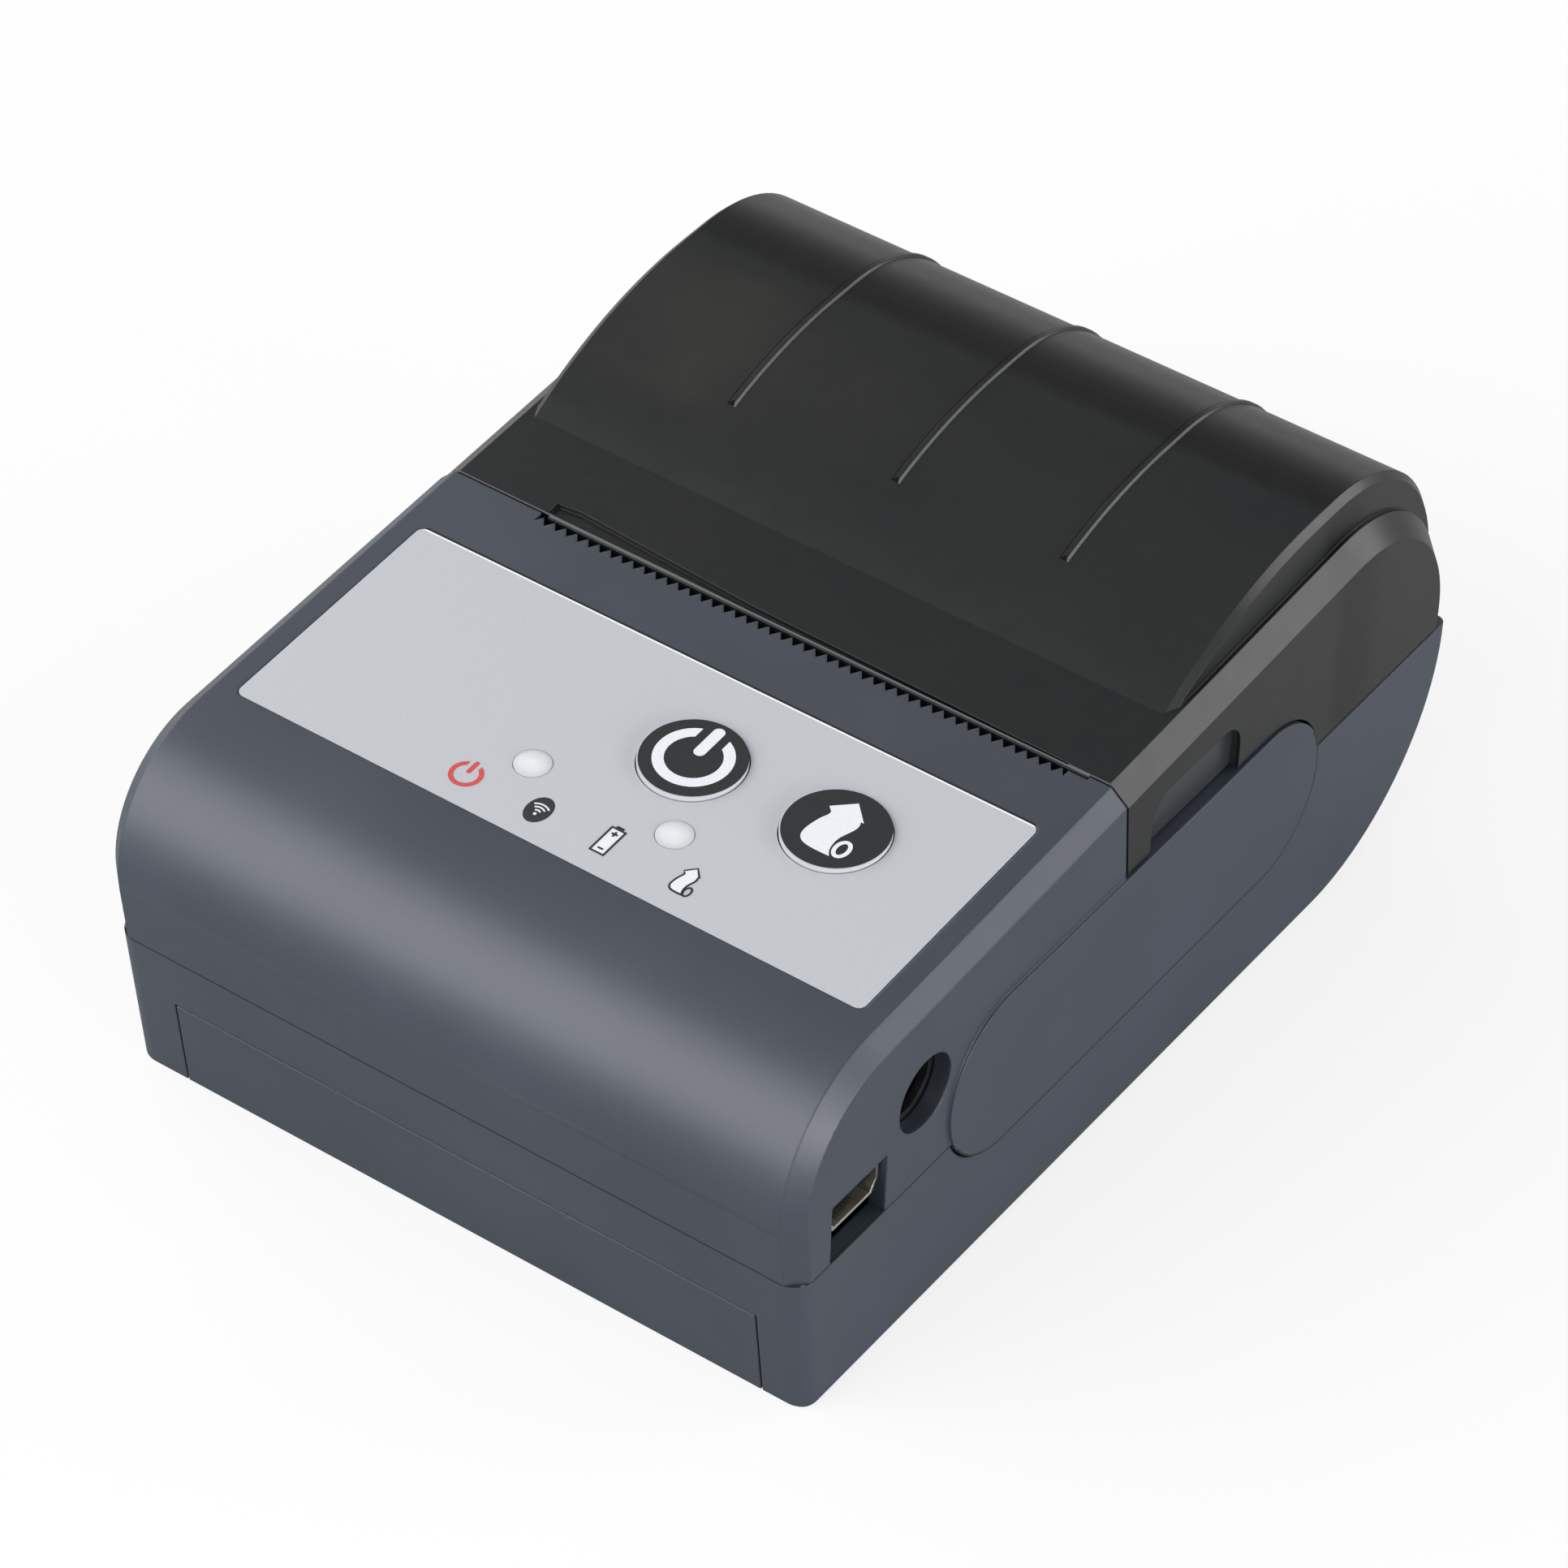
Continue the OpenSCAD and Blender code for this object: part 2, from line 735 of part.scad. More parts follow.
module cover_rim(inset) {
    w = case_w - 2 * inset;
    r = cover_r - inset;
    e = cover_bevel - inset * 0.4;
    cover_z = top_z(cover_y) - cover_r / cos(top_slope);
    translate([0, cover_y, cover_z]) {
        wheel()
            bevelled_edge(r, w, e, 0);
        rotate([top_slope, 0, 0])
            translate([0, -far, 0])
                bar(far)
                    bevelled_edge(r, w, e, cover_r);
    }
}

module dome(inset, w) {
    e = min(dome_bevel - inset * 0.4, w / 4);
    intersection() {
        translate([0, crest_y, dome_top - dome_front_r])
            wheel()
                bevelled_edge(dome_front_r - inset, w, e, 0);
        translate([-far, -far + crest_y, nose_z + 8])
            cube([2 * far, far, far]);
    }
    translate([0, crest_y, dome_rear_z])
        bar(crest_l)
            bevelled_edge(dome_rear_r - inset, w, e, 0);
    intersection() {
        translate([0, crest_y + crest_l, dome_rear_z])
            wheel()
                bevelled_edge(dome_rear_r - inset, w, e, 0);
        translate([-far, crest_y + crest_l, cover_low_z])
            cube([2 * far, far, far]);
    }
}

module dome_ribs()
    for (k = [0 : rib_n - 1])
        translate([(k - (rib_n - 1) / 2) * rib_pitch, 0, 0])
            intersection() {
                dome(-rib_h, rib_w);
                translate([-rib_w, crest_y - rib_l, nose_z])
                    cube([2 * rib_w, far, far]);
            }

module grip(depth)
    side_view(half_w - depth, half_w + 1)
        translate([cover_front_y + grip_back + grip_l / 2, pad_top_z]) {
            square([grip_l - 6, 2 * grip_h], center = true);
            square([grip_l, 2 * (grip_h - 3)], center = true);
            for (side = [-1, 1], up = [-1, 1])
                translate([side * (grip_l / 2 - 3), up * (grip_h - 3)])
                    circle(3);
        }

module cover_shell()
    difference() {
        union() {
            cover_rim(0);
            dome(0, dome_w);
            dome_ribs();
        }
        difference() {
            union() {
                cover_rim(cover_wall);
                dome(cover_wall, dome_w - 2 * cover_wall);
            }
            // Bosses for the platen holder
            for (x = holder_spots())
                translate([x, holder_screw_y, holder_top_z])
                    cylinder(r = 2, h = far);
        }
    }

module paper_cover()
    color("#303336")
        difference() {
            union() {
                difference() {
                    cover_shell();
                    translate([-far, -far, -far])
                        cube([2 * far, far + pad_rear_y, far + pad_top_z]);
                    translate([-far, -far, -far])
                        cube([2 * far, 2 * far, far + cover_low_z]);
                    side_view(-far, far)
                        stadium(seam_gap);
                    both_sides()
                        rod_x(barrel_x + barrel_l, barrel_x + 2 * barrel_l + 1.5 * move_gap,
                            hinge_y, hinge_z, barrel_r + move_gap / 2);
                    // Relief that lets the rear edge swing past the corner of the rim
                    rod_x(-far, far, hinge_y, hinge_z,
                        norm([rear_y - hinge_y, rim_z - hinge_z]) + move_gap / 2);
                }
                both_sides() {
                    barrel(barrel_x);
                    intersection() {
                        cover_rim(0);
                        barrel_neck(barrel_x, hinge_z);
                    }
                }
            }
            both_sides()
                rod_x(barrel_x - 1, barrel_x + barrel_l + 1,
                    hinge_y, hinge_z, pin_r + run_gap);
            // In front of the leaning front edge, apart from the lip
            difference() {
                translate([0, cover_front_y, top_z(cover_front_y)])
                    rotate([cover_lean, 0, 0])
                        translate([-far, -2 * far, -far])
                            cube([2 * far, 2 * far, 2 * far]);
                paper_lip();
            }
            // Groove behind the lip, which narrows from its left end to its right
            on_top(0, cover_front_y)
                translate([paper_left, 0, -groove_depth])
                    linear_extrude(far)
                        polygon([[0, 0.2], [0, 1.6], [2.5, groove_w], [0.4 * paper_w, 0.65],
                            [paper_w, 0.1], [paper_w, -0.1], [0.4 * paper_w, -0.05]]);
            both_sides()
                grip(grip_depth);
            for (x = holder_spots())
                translate([x, holder_screw_y, 0])
                    cylinder(r = shank_r + 0.05, h = top_z(holder_screw_y) - 1);
        }

// Where the paper leaves, in front of the cover's edge
module paper_lip()
    on_top(0, cover_front_y)
        translate([lip_x, -lip_l, -lip_t])
            cube([lip_w, lip_l + 1, lip_t + 1]);

function holder_spots() = [paper_left + 8.75, paper_right - 8.75];

module hinge_pins()
    color("#b9bcc0")
        both_sides()
            rod_x(barrel_x + 0.2, barrel_x + 2 * barrel_l + move_gap - 0.2,
                hinge_y, hinge_z, pin_r);

module platen_holder()
    color("#26282b")
        difference() {
            union() {
                // Ears that carry the shaft
                for (x = [ear_left, ear_right - ear_t])
                    side_view(x, x + ear_t) {
                        translate([platen_y, platen_z])
                            circle(3.4);
                        translate([platen_y - 3, platen_z])
                            square([9.4, holder_top_z - platen_z]);
                    }
                // Bridge behind the platen
                translate([ear_left, holder_y, platen_z - 3])
                    cube([ear_right - ear_left, 1.3, holder_top_z - platen_z + 3]);
                // Seat against the bosses of the cover
                translate([ear_left, holder_y, holder_top_z - 1.2])
                    cube([ear_right - ear_left, 8, 1.2]);
            }
            rod_x(-far, far, platen_y, platen_z, shaft_r + run_gap);
            for (x = holder_spots())
                translate([x, holder_screw_y, 0])
                    cylinder(r = shank_r + 0.1, h = far);
        }

// Print mechanism

module platen_roller()
    color("#2a2a2b")
        difference() {
            rod_x(roller_left, roller_right, platen_y, platen_z, platen_r);
            rod_x(-far, far, platen_y, platen_z, shaft_r);
        }

module platen_shaft()
    color("#c3c6ca")
        rod_x(fine_x - 0.3, frame_right + 0.5, platen_y, platen_z, shaft_r);

module platen_bushes()
    color("#e4e2da")
        for (x = [frame_left - 0.3, plate_right - 0.2])
            difference() {
                rod_x(x, x + plate_t + 0.5, platen_y, platen_z, bush_r);
                rod_x(-far, far, platen_y, platen_z, shaft_r + 0.02);
            }

// Straight-flanked teeth round a wheel, tooth number zero at phase
module toothed(n, m, phase) {
    pitch_r = n * m / 2;
    tip_r = pitch_r + 0.85 * m;
    root_r = pitch_r - 1.15 * m;
    half_pitch = 90 / n * (1 - backlash);
    flank = tan(20) * 180 / PI;
    half_tip = half_pitch - flank * (tip_r - pitch_r) / tip_r;
    half_root = half_pitch + flank * (pitch_r - root_r) / root_r;
    rotate(phase)
        polygon([for (k = [0 : n - 1])
            for (corner = [[root_r, -half_root], [pitch_r, -half_pitch],
                [tip_r, -half_tip], [tip_r, half_tip],
                [pitch_r, half_pitch], [root_r, half_root]])
                corner[0] * [cos(k * 360 / n + corner[1]), sin(k * 360 / n + corner[1])]]);
}

module platen_gear()
    color("#e8e4d8")
        side_view(fine_x, fine_x + fine_w)
            translate([platen_y, platen_z])
                difference() {
                    toothed(platen_teeth, fine_m, lift_angle + 180);
                    circle(shaft_r);
                }

module reduction_gear()
    color("#e8e4d8")
        difference() {
            union() {
                side_view(fine_x, fine_x + fine_w)
                    translate([idler_y, idler_z])
                        toothed(small_teeth, fine_m, idler_phase);
                side_view(motor_gear_x, motor_gear_x + motor_w)
                    translate([idler_y, idler_z])
                        toothed(large_teeth, motor_m, motor_angle);
                rod_x(motor_gear_x, fine_x, idler_y, idler_z, 2.6);
            }
            rod_x(-far, far, idler_y, idler_z, gear_post_r + run_gap);
        }

module motor_pinion()
    color("#c8a85a")
        side_view(motor_gear_x, motor_gear_x + motor_w)
            translate([motor_y, motor_z])
                difference() {
                    toothed(pinion_teeth, motor_m, motor_angle + 180 + 180 / pinion_teeth);
                    circle(motor_shaft_r);
                }

module motor_shaft()
    color("#c3c6ca")
        rod_x(motor_gear_x + 0.1, plate_left + 3, motor_y, motor_z, motor_shaft_r);

module gear_post()
    color("#b9bcc0") {
        rod_x(motor_gear_x - 0.5, frame_left, idler_y, idler_z, gear_post_r);
        rod_x(fine_x + fine_w + 0.15, frame_left, idler_y, idler_z, 1.9);
    }

module feed_motor()
    color("#a9adb2")
        difference() {
            union() {
                rod_x(plate_left, plate_left + motor_l, motor_y, motor_z, motor_r);
                rod_x(plate_left + motor_l, plate_left + motor_l + 1, motor_y, motor_z, 2.4);
                rod_x(frame_left - 0.3, plate_left, motor_y, motor_z, 2.4);
            }
            rod_x(-far, plate_left + 3.2, motor_y, motor_z, motor_shaft_r + run_gap);
        }

function frame_spots() =
    [[paper_x - 14, frame_front_y + 3.6], [paper_right - 3, frame_front_y + 3.6],
        [paper_x - 14, frame_rear_y - 2.8], [paper_right - 3, frame_rear_y - 2.8]];

module frame_side(x0, x1, low)
    side_view(x0, x1)
        difference() {
            polygon([[frame_front_y, low], [frame_rear_y, low],
                [frame_rear_y, platen_z + 1.2], [platen_y + 3, platen_z + 4.2],
                [head_y - 1.4, platen_z + 4.2], [frame_front_y, spring_z + 3]]);
            // Open seat for a bush, wider behind, where the cover swings away
            translate([platen_y, platen_z]) {
                circle(bush_r + 0.1);
                rotate(lift_angle - 90)
                    translate([-bush_r - 0.1, 0])
                        square([2 * bush_r + 1.2, 12]);
            }
            translate([motor_y, motor_z])
                circle(2.5);
            translate([head_pin_y, head_pin_z])
                circle(head_pin_r + 0.02);
        }

module mechanism_frame()
    color("#8f9499")
        difference() {
            union() {
                frame_side(frame_left, plate_left, frame_low_z);
                frame_side(plate_right, frame_right, frame_low_z);
                // Floor, upright front and paper guide between the side plates
                translate([frame_left, frame_front_y, frame_low_z])
                    cube([frame_right - frame_left, frame_rear_y - frame_front_y, 1.2]);
                translate([frame_left, frame_front_y, frame_low_z])
                    cube([frame_right - frame_left, 1, spring_z + 3 - frame_low_z]);
                translate([plate_left + motor_l + 2, frame_rear_y - 1, frame_low_z])
                    cube([plate_right - plate_left - motor_l - 2, 1,
                        platen_z - 8 - frame_low_z]);
            }
            // Slot for the head ribbon
            translate([paper_x - 10, frame_front_y - 1, ribbon_z - 0.6])
                cube([20, 3, 1.4]);
            for (spot = frame_spots())
                translate([spot[0], spot[1], frame_low_z - 1])
                    cylinder(r = shank_r + 0.1, h = 4);
        }

module print_head()
    color("#e9e6df")
        difference() {
            translate([plate_left + 0.5, sink_y, head_low_z])
                cube([plate_right - plate_left - 1, head_t, head_h]);
            translate([-far, sink_y - 1, head_low_z + head_h - 0.4])
                cube([2 * far, 1.4, 1]);
        }

module head_heatsink()
    color("#b4b8bc")
        difference() {
            translate([plate_left + 0.4, sink_back, sink_low_z])
                cube([plate_right - plate_left - 0.8, sink_t,
                    head_low_z + head_h - 0.6 - sink_low_z]);
            rod_x(-far, far, head_pin_y, head_pin_z, head_pin_r + run_gap);
            for (x = spring_spots())
                translate([x, sink_back - 1, spring_z])
                    rotate([-90, 0, 0])
                        cylinder(r = spring_r + 0.3, h = 1.4);
        }

function spring_spots() = [paper_left + 12.75, paper_right - 12.75];

module head_pivot_pin()
    color("#b9bcc0")
        rod_x(frame_left - 0.3, frame_right + 0.3, head_pin_y, head_pin_z, head_pin_r);

// One unbroken wire, drawn as a tube along a helix
module coil(turns, length, r, wire) {
    sides = 6;
    steps = 12;
    rings = turns * steps;
    points = [for (i = [0 : rings])
        let (a = 360 * i / steps, h = wire / 2 + (length - wire) * i / rings)
            for (k = [0 : sides - 1])
                let (b = 360 * k / sides, q = r + wire / 2 * cos(b))
                    [q * cos(a), q * sin(a), h + wire / 2 * sin(b)]];
    walls = [for (i = [0 : rings - 1])
        for (k = [0 : sides - 1])
            let (a = i * sides + k, b = i * sides + (k + 1) % sides)
                for (face = [[a, b + sides, b], [a, a + sides, b + sides]])
                    face];
    start = [for (k = [0 : sides - 1]) k];
    finish = [for (k = [sides - 1 : -1 : 0]) rings * sides + k];
    polyhedron(points, concat(walls, [start, finish]));
    middle = [for (i = [0 : rings])
        [r * cos(360 * i / steps), r * sin(360 * i / steps), (length - wire) * i / rings]];
    gaps = [for (i = [0 : rings - steps / 2])
        for (j = [i + steps / 2 : rings])
            norm(middle[i] - middle[j]) - wire];
    echo(str("least gap between the turns of a head spring: ", min(gaps), " mm"));
}

module head_springs()
    color("#c9ccd0")
        for (x = spring_spots())
            translate([x, frame_front_y + 1.05, spring_z])
                rotate([-90, 0, 0])
                    coil(spring_turns, sink_back - frame_front_y - 1 + 0.3,
                        spring_r - spring_wire / 2, spring_wire);

module paper_tray()
    color("#3a3d42") {
        difference() {
            intersection() {
                rod_x(tray_left, tray_right, roll_y, roll_z, roll_d / 2 + tray_t);
                tray_region();
            }
            rod_x(tray_left + tray_t, tray_right - tray_t, roll_y, roll_z, roll_d / 2);
        }
    }

module tray_region() {
    translate([-far, -far, 0])
        cube([2 * far, far + roll_y, rim_z - 1]);
    translate([-far, 0, 0])
        cube([2 * far, 2 * far, rim_z - 6]);
}

module paper_sensor()
    color("#1f2022")
        translate([paper_x - 1.7, frame_rear_y, platen_z - 11.2])
            cube([3.4, 1.5, 2.7]);

// Boards and sockets

function board_spots() =
    [for (x = [6.5 - board_half_w, board_half_w - 6.5]) [x, post_y_front + 1],
        [-8, face_y(board_z) + 7.5]];

module main_board()
    color("#1f5a3c")
        difference() {
            union() {
                translate([-board_half_w, face_y(board_z) + wall + 2, board_z - board_t])
                    cube([2 * board_half_w, board_rear_y - face_y(board_z) - wall - 2,
                        board_t]);
                translate([0, data_y - data_w / 2 - 1, board_z - board_t])
                    cube([inner_w - 0.6, jack_y + 4.2 - data_y + data_w / 2 + 1, board_t]);
            }
            for (spot = board_spots())
                translate([spot[0], spot[1], 0])
                    cylinder(r = shank_r + 0.1, h = far);
        }

module chip(x, y, w, l, h)
    translate([x - w / 2, y - l / 2, board_z])
        cube([w, l, h]);

module board_chips()
    color("#222326") {
        chip(-4, nose_y + 6.4, 10, 10, 1.4);
        chip(11, nose_y + 4.4, 6, 5, 1.2);
        chip(-18, board_rear_y - 9.2, 7, 4, 1.3);
        chip(6, board_rear_y - 9.2, 5, 6, 1.1);
        // Connector of the head ribbon
        chip(paper_x, board_rear_y - 1.5, 20, 3, ribbon_z - 0.3 - board_z);
        // Coil and capacitors of the supply
        translate([16, board_rear_y - 14.2, board_z])
            cylinder(r = 3.2, h = 3.6);
        for (x = [3.5, 9.5])
            translate([x - board_half_w, nose_y + 7.4, board_z])
                cylinder(r = 2.4, h = 5);
    }

module wireless_module()
    color("#b9bdb8") {
        translate([radio_x, radio_y, board_z])
            cube([radio_w, radio_l, 0.8]);
        translate([radio_x + 3.5, radio_y + 0.5, board_z + 0.8])
            cube([radio_w - 4, radio_l - 1, 1.5]);
    }

// Side view of the opening of the data socket, wide side up
module data_outline(grow) {
    w = data_w / 2 + grow;
    h = data_h + grow;
    polygon([[-w, h], [-w, 1.1], [-w + 0.9, -grow], [w - 0.9, -grow], [w, 1.1], [w, h]]);
}

module data_socket()
    color("#c9ccc8")
        difference() {
            side_view(inner_w - 8.6, half_w - 0.7)
                translate([data_y, board_z + 0.3])
                    data_outline(0.3);
            side_view(inner_w - 8.2, half_w + 1)
                translate([data_y, board_z + 0.3])
                    data_outline(0);
        }

module data_tongue()
    color("#1b1c1e") {
        side_view(inner_w - 8.2, inner_w - 6.6)
            translate([data_y, board_z + 0.3])
                data_outline(0);
        translate([inner_w - 6.6, data_y - 2.1, board_z + 1.5])
            cube([6.6, 4.2, 0.9]);
    }

module power_jack()
    color("#1c1d1f")
        difference() {
            translate([inner_w - 0.1 - jack_body_l, jack_y - jack_body_w / 2, board_z])
                cube([jack_body_l, jack_body_w, jack_h + 4]);
            rod_x(inner_w - 9.5, far, jack_y, jack_z, jack_r);
            // Grooves of the contact spring
            for (k = [0 : 3])
                rod_x(inner_w - 1.6 - 1.6 * k, inner_w - 0.9 - 1.6 * k,
                    jack_y, jack_z, jack_r + 0.35);
        }

module jack_pin()
    color("#c9ccd0") {
        rod_x(inner_w - 9.5, inner_w - 1.4, jack_y, jack_z, jack_pin_r);
        translate([inner_w - 1.4, jack_y, jack_z])
            sphere(jack_pin_r);
    }

function key_board_spots() =
    [[power_x - button_r - 11, button_y + 2], [window_right_x + 4.6, window_y - 0.9]];

module key_board()
    color("#1f5a3c")
        difference() {
            on_top(0, label_y)
                translate([power_x - button_r - 13.5, key_front_y - label_y,
                    -key_depth - board_t])
                    cube([feed_x - power_x + button_r + 16.6,
                        key_ribbon_y + 0.4 - key_front_y, board_t]);
            for (spot = key_board_spots())
                on_top(spot[0], spot[1])
                    cylinder(r = shank_r + 0.1, h = far, center = true);
        }

module key_switches()
    color("#2c2d30")
        for (x = [power_x, feed_x])
            on_top(x, button_y)
                translate([0, 0, -key_depth]) {
                    translate([-3, -3, 0])
                        cube([6, 6, 3.3]);
                    cylinder(r = 1.7, h = switch_h);
                }

module key_lights()
    color("#dfe6df")
        for (x = [window_left_x, window_right_x])
            on_top(x, window_y)
                translate([0, 0, -key_depth]) {
                    cylinder(r = 1.6, h = 1);
                    cylinder(r = 1.4, h = key_depth - 3);
                    translate([0, 0, key_depth - 3])
                        sphere(1.4);
                }

// A key is a cap on a wider flange, with a stem over its switch
module key(x)
    on_top(x, button_y) {
        translate([0, 0, -wall - 1])
            cylinder(r = button_r, h = wall + 1 + button_proud);
        translate([0, 0, -wall - 1.05])
            cylinder(r = button_r + 1, h = 1);
        translate([0, 0, -key_depth + switch_h + button_travel + 0.05])
            cylinder(r = 1.4, h = key_depth - switch_h - button_travel - wall - 0.5);
    }

module power_button()
    color("#2b2d31")
        key(power_x);

module feed_button()
    color("#2b2d31")
        key(feed_x);

module light_windows()
    color("#eef0f0")
        for (x = [window_left_x, window_right_x])
            on_top(x, window_y)
                intersection() {
                    translate([0, 0, -1.2])
                        cylinder(r = window_r, h = 2);
                    translate([0, 0, 0.3 - 6])
                        sphere(6);
                }

module label_panel()
    color("#c2c5ca")
        difference() {
            on_top(0, label_y)
                translate([0, 0, -label_t])
                    linear_extrude(label_t)
                        rounded_plate(label_w, label_l, 0.8);
            for (x = [power_x, feed_x])
                on_top(x, button_y)
                    cylinder(r = button_r + button_gap, h = 8, center = true);
            for (x = [window_left_x, window_right_x])
                on_top(x, window_y)
                    cylinder(r = window_r + 0.05, h = 8, center = true);
        }

// Ribbons, drawn in the side view as bands of even thickness
module head_ribbon()
    color("#c98f3a")
        side_view(paper_x - 9, paper_x + 9)
            translate([board_rear_y - 1, ribbon_z - 0.3]) {
                square([head_y + 1.3 - board_rear_y, 0.3]);
                translate([head_y + 1 - board_rear_y, 0])
                    square([0.3, head_low_z + 3.3 - ribbon_z]);
            }

module key_ribbon()
    color("#c98f3a")
        side_view(-8, 2)
            translate([key_ribbon_y - 0.3, board_z])
                square([0.3, key_low_z(key_ribbon_y - 0.3) - board_z]);

// Underside of the key board at y
function key_low_z(y) =
    top_z(y) - (key_depth + board_t) / cos(top_slope);

// Battery

module battery_pack()
    color("#2f6fb0")
        translate([bay_x, pack_rear_y - pack_l / 2, pack_z])
            for (side = [-1, 1])
                translate([side * pack_w / 4, 0, 0])
                    linear_extrude(pack_h)
                        rounded_plate(pack_w / 2, pack_l, 2);

module battery_contacts()
    color("#d0a94e")
        for (k = [-1 : 1])
            translate([bay_x + k * contact_pitch - contact_w / 2,
                bay_rear_y - contact_t, pack_z + 2])
                cube([contact_w, contact_t, board_z - board_t - pack_z - 2]);

// Screws

module housing_screws()
    color("#9a9da1")
        for (side = [-1, 1], y = [post_y_front, post_y_rear])
            translate([side * post_x, y, post_seat_z])
                mirror([0, 0, 1])
                    screw(12);

module mechanism_screws()
    color("#9a9da1")
        for (spot = frame_spots())
            translate([spot[0], spot[1], frame_low_z + 1.2])
                screw(4.5);

module board_screws()
    color("#9a9da1")
        for (spot = board_spots())
            translate([spot[0], spot[1], board_z])
                screw(3);

module holder_screws()
    color("#9a9da1")
        for (x = holder_spots())
            translate([x, holder_screw_y, holder_top_z - 1.2])
                mirror([0, 0, 1])
                    screw(2.6);

module key_board_screws()
    color("#9a9da1")
        for (spot = key_board_spots())
            on_top(spot[0], spot[1])
                translate([0, 0, -key_depth - board_t])
                    mirror([0, 0, 1])
                        screw(4);

lower_housing();
upper_housing();
paper_cover();
platen_holder();
platen_roller();
platen_shaft();
platen_bushes();
platen_gear();
hinge_pins();
mechanism_frame();
print_head();
head_heatsink();
head_pivot_pin();
head_springs();
feed_motor();
motor_shaft();
motor_pinion();
reduction_gear();
gear_post();
paper_tray();
paper_sensor();
main_board();
board_chips();
wireless_module();
data_socket();
data_tongue();
power_jack();
jack_pin();
key_board();
key_switches();
key_lights();
power_button();
feed_button();
light_windows();
label_panel();
head_ribbon();
key_ribbon();
battery_pack();
battery_contacts();
battery_door();
housing_screws();
mechanism_screws();
board_screws();
holder_screws();
key_board_screws();
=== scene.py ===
import math
import bpy
from mathutils import Matrix, Vector


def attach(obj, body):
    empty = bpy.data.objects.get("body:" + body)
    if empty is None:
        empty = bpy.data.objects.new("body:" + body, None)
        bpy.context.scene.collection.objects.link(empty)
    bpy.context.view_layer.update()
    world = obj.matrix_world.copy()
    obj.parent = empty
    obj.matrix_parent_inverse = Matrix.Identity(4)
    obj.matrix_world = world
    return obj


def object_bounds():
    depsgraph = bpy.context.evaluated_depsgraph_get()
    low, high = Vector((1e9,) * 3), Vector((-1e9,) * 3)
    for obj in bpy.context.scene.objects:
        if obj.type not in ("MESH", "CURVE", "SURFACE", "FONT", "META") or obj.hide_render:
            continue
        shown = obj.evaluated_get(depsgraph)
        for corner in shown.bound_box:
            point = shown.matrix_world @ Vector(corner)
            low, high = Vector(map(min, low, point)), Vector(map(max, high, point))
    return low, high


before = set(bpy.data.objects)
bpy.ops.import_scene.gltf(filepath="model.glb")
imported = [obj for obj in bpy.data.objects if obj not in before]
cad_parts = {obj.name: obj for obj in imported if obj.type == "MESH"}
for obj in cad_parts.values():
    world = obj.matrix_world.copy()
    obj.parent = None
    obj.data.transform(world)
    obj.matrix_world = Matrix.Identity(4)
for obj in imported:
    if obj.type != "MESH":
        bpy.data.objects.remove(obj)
cad_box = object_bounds()

# Camera. The photograph was taken with a long lens from above the printer's front right corner,
# so it shows the top, the front and the right side, a little tilted in the frame.
camera_turn = math.radians(34.372)
camera_rise = math.radians(41.475)
camera_roll = math.radians(-1.909)
camera_distance = 0.6164
camera_aim = Vector((0.000693, -0.002768, 0.020))
backward = Vector((math.sin(camera_turn) * math.cos(camera_rise),
                   -math.cos(camera_turn) * math.cos(camera_rise), math.sin(camera_rise)))
level = Vector((math.cos(camera_turn), math.sin(camera_turn), 0))
upright = backward.cross(level)
camera_x = level * math.cos(camera_roll) - upright * math.sin(camera_roll)
camera_y = level * math.sin(camera_roll) + upright * math.cos(camera_roll)
camera_data = bpy.data.cameras.new("camera")
camera_data.sensor_width = 36
camera_data.lens = 153.93
camera = bpy.data.objects.new("camera", camera_data)
facing = Matrix((camera_x, camera_y, backward)).transposed().to_4x4()
camera.matrix_world = Matrix.Translation(camera_aim + camera_distance * backward) @ facing
bpy.context.scene.collection.objects.link(camera)
bpy.context.scene.camera = camera
bpy.context.scene.view_settings.view_transform = "Standard"


# Light tent. White cloth all round, brightest near the table and greyer above it. The camera sees
# it as plain white, which is the photograph's background, and gloss sees some of that white too.
def linear(colour):
    """Turns an sRGB hex colour into the linear one that a shader takes."""
    out = []
    for k in (1, 3, 5):
        c = int(colour[k:k + 2], 16) / 255
        out.append(c / 12.92 if c <= 0.04045 else ((c + 0.055) / 1.055) ** 2.4)
    return (*out, 1)


def feed(tree, node, inputs):
    """Fills a node's inputs. Each takes a value, a socket, or a node for its first output."""
    for name, value in inputs.items():
        if isinstance(value, bpy.types.Node):
            value = value.outputs[0]
        if isinstance(value, bpy.types.NodeSocket):
            tree.links.new(value, node.inputs[name])
        else:
            node.inputs[name].default_value = value


def add(tree, kind, settings=None, inputs=None):
    """Adds a node with its settings and inputs. Stops fill a colour ramp, each a place with a hex
    colour."""
    node = tree.nodes.new(kind)
    for name, value in (settings or {}).items():
        if name == "stops":
            marks = node.color_ramp.elements
            while len(marks) < len(value):
                marks.new(1.0)
            for mark, (place, colour) in zip(marks, value):
                mark.position = place
                mark.color = linear(colour)
        else:
            setattr(node, name, value)
    feed(tree, node, inputs or {})
    return node


glossy_white = 0.08


def white_share(tree):
    """How much of a ray meets plain white: all of the camera's and of those through glass, and a
    little of the glossy ones."""
    path = add(tree, "ShaderNodeLightPath")
    share = add(tree, "ShaderNodeMath", {"operation": "MULTIPLY_ADD"},
                {0: path.outputs["Is Glossy Ray"], 1: glossy_white, 2: path.outputs["Is Camera Ray"]})
    return add(tree, "ShaderNodeMath", {"use_clamp": True},
               {0: share, 1: path.outputs["Is Transmission Ray"]})


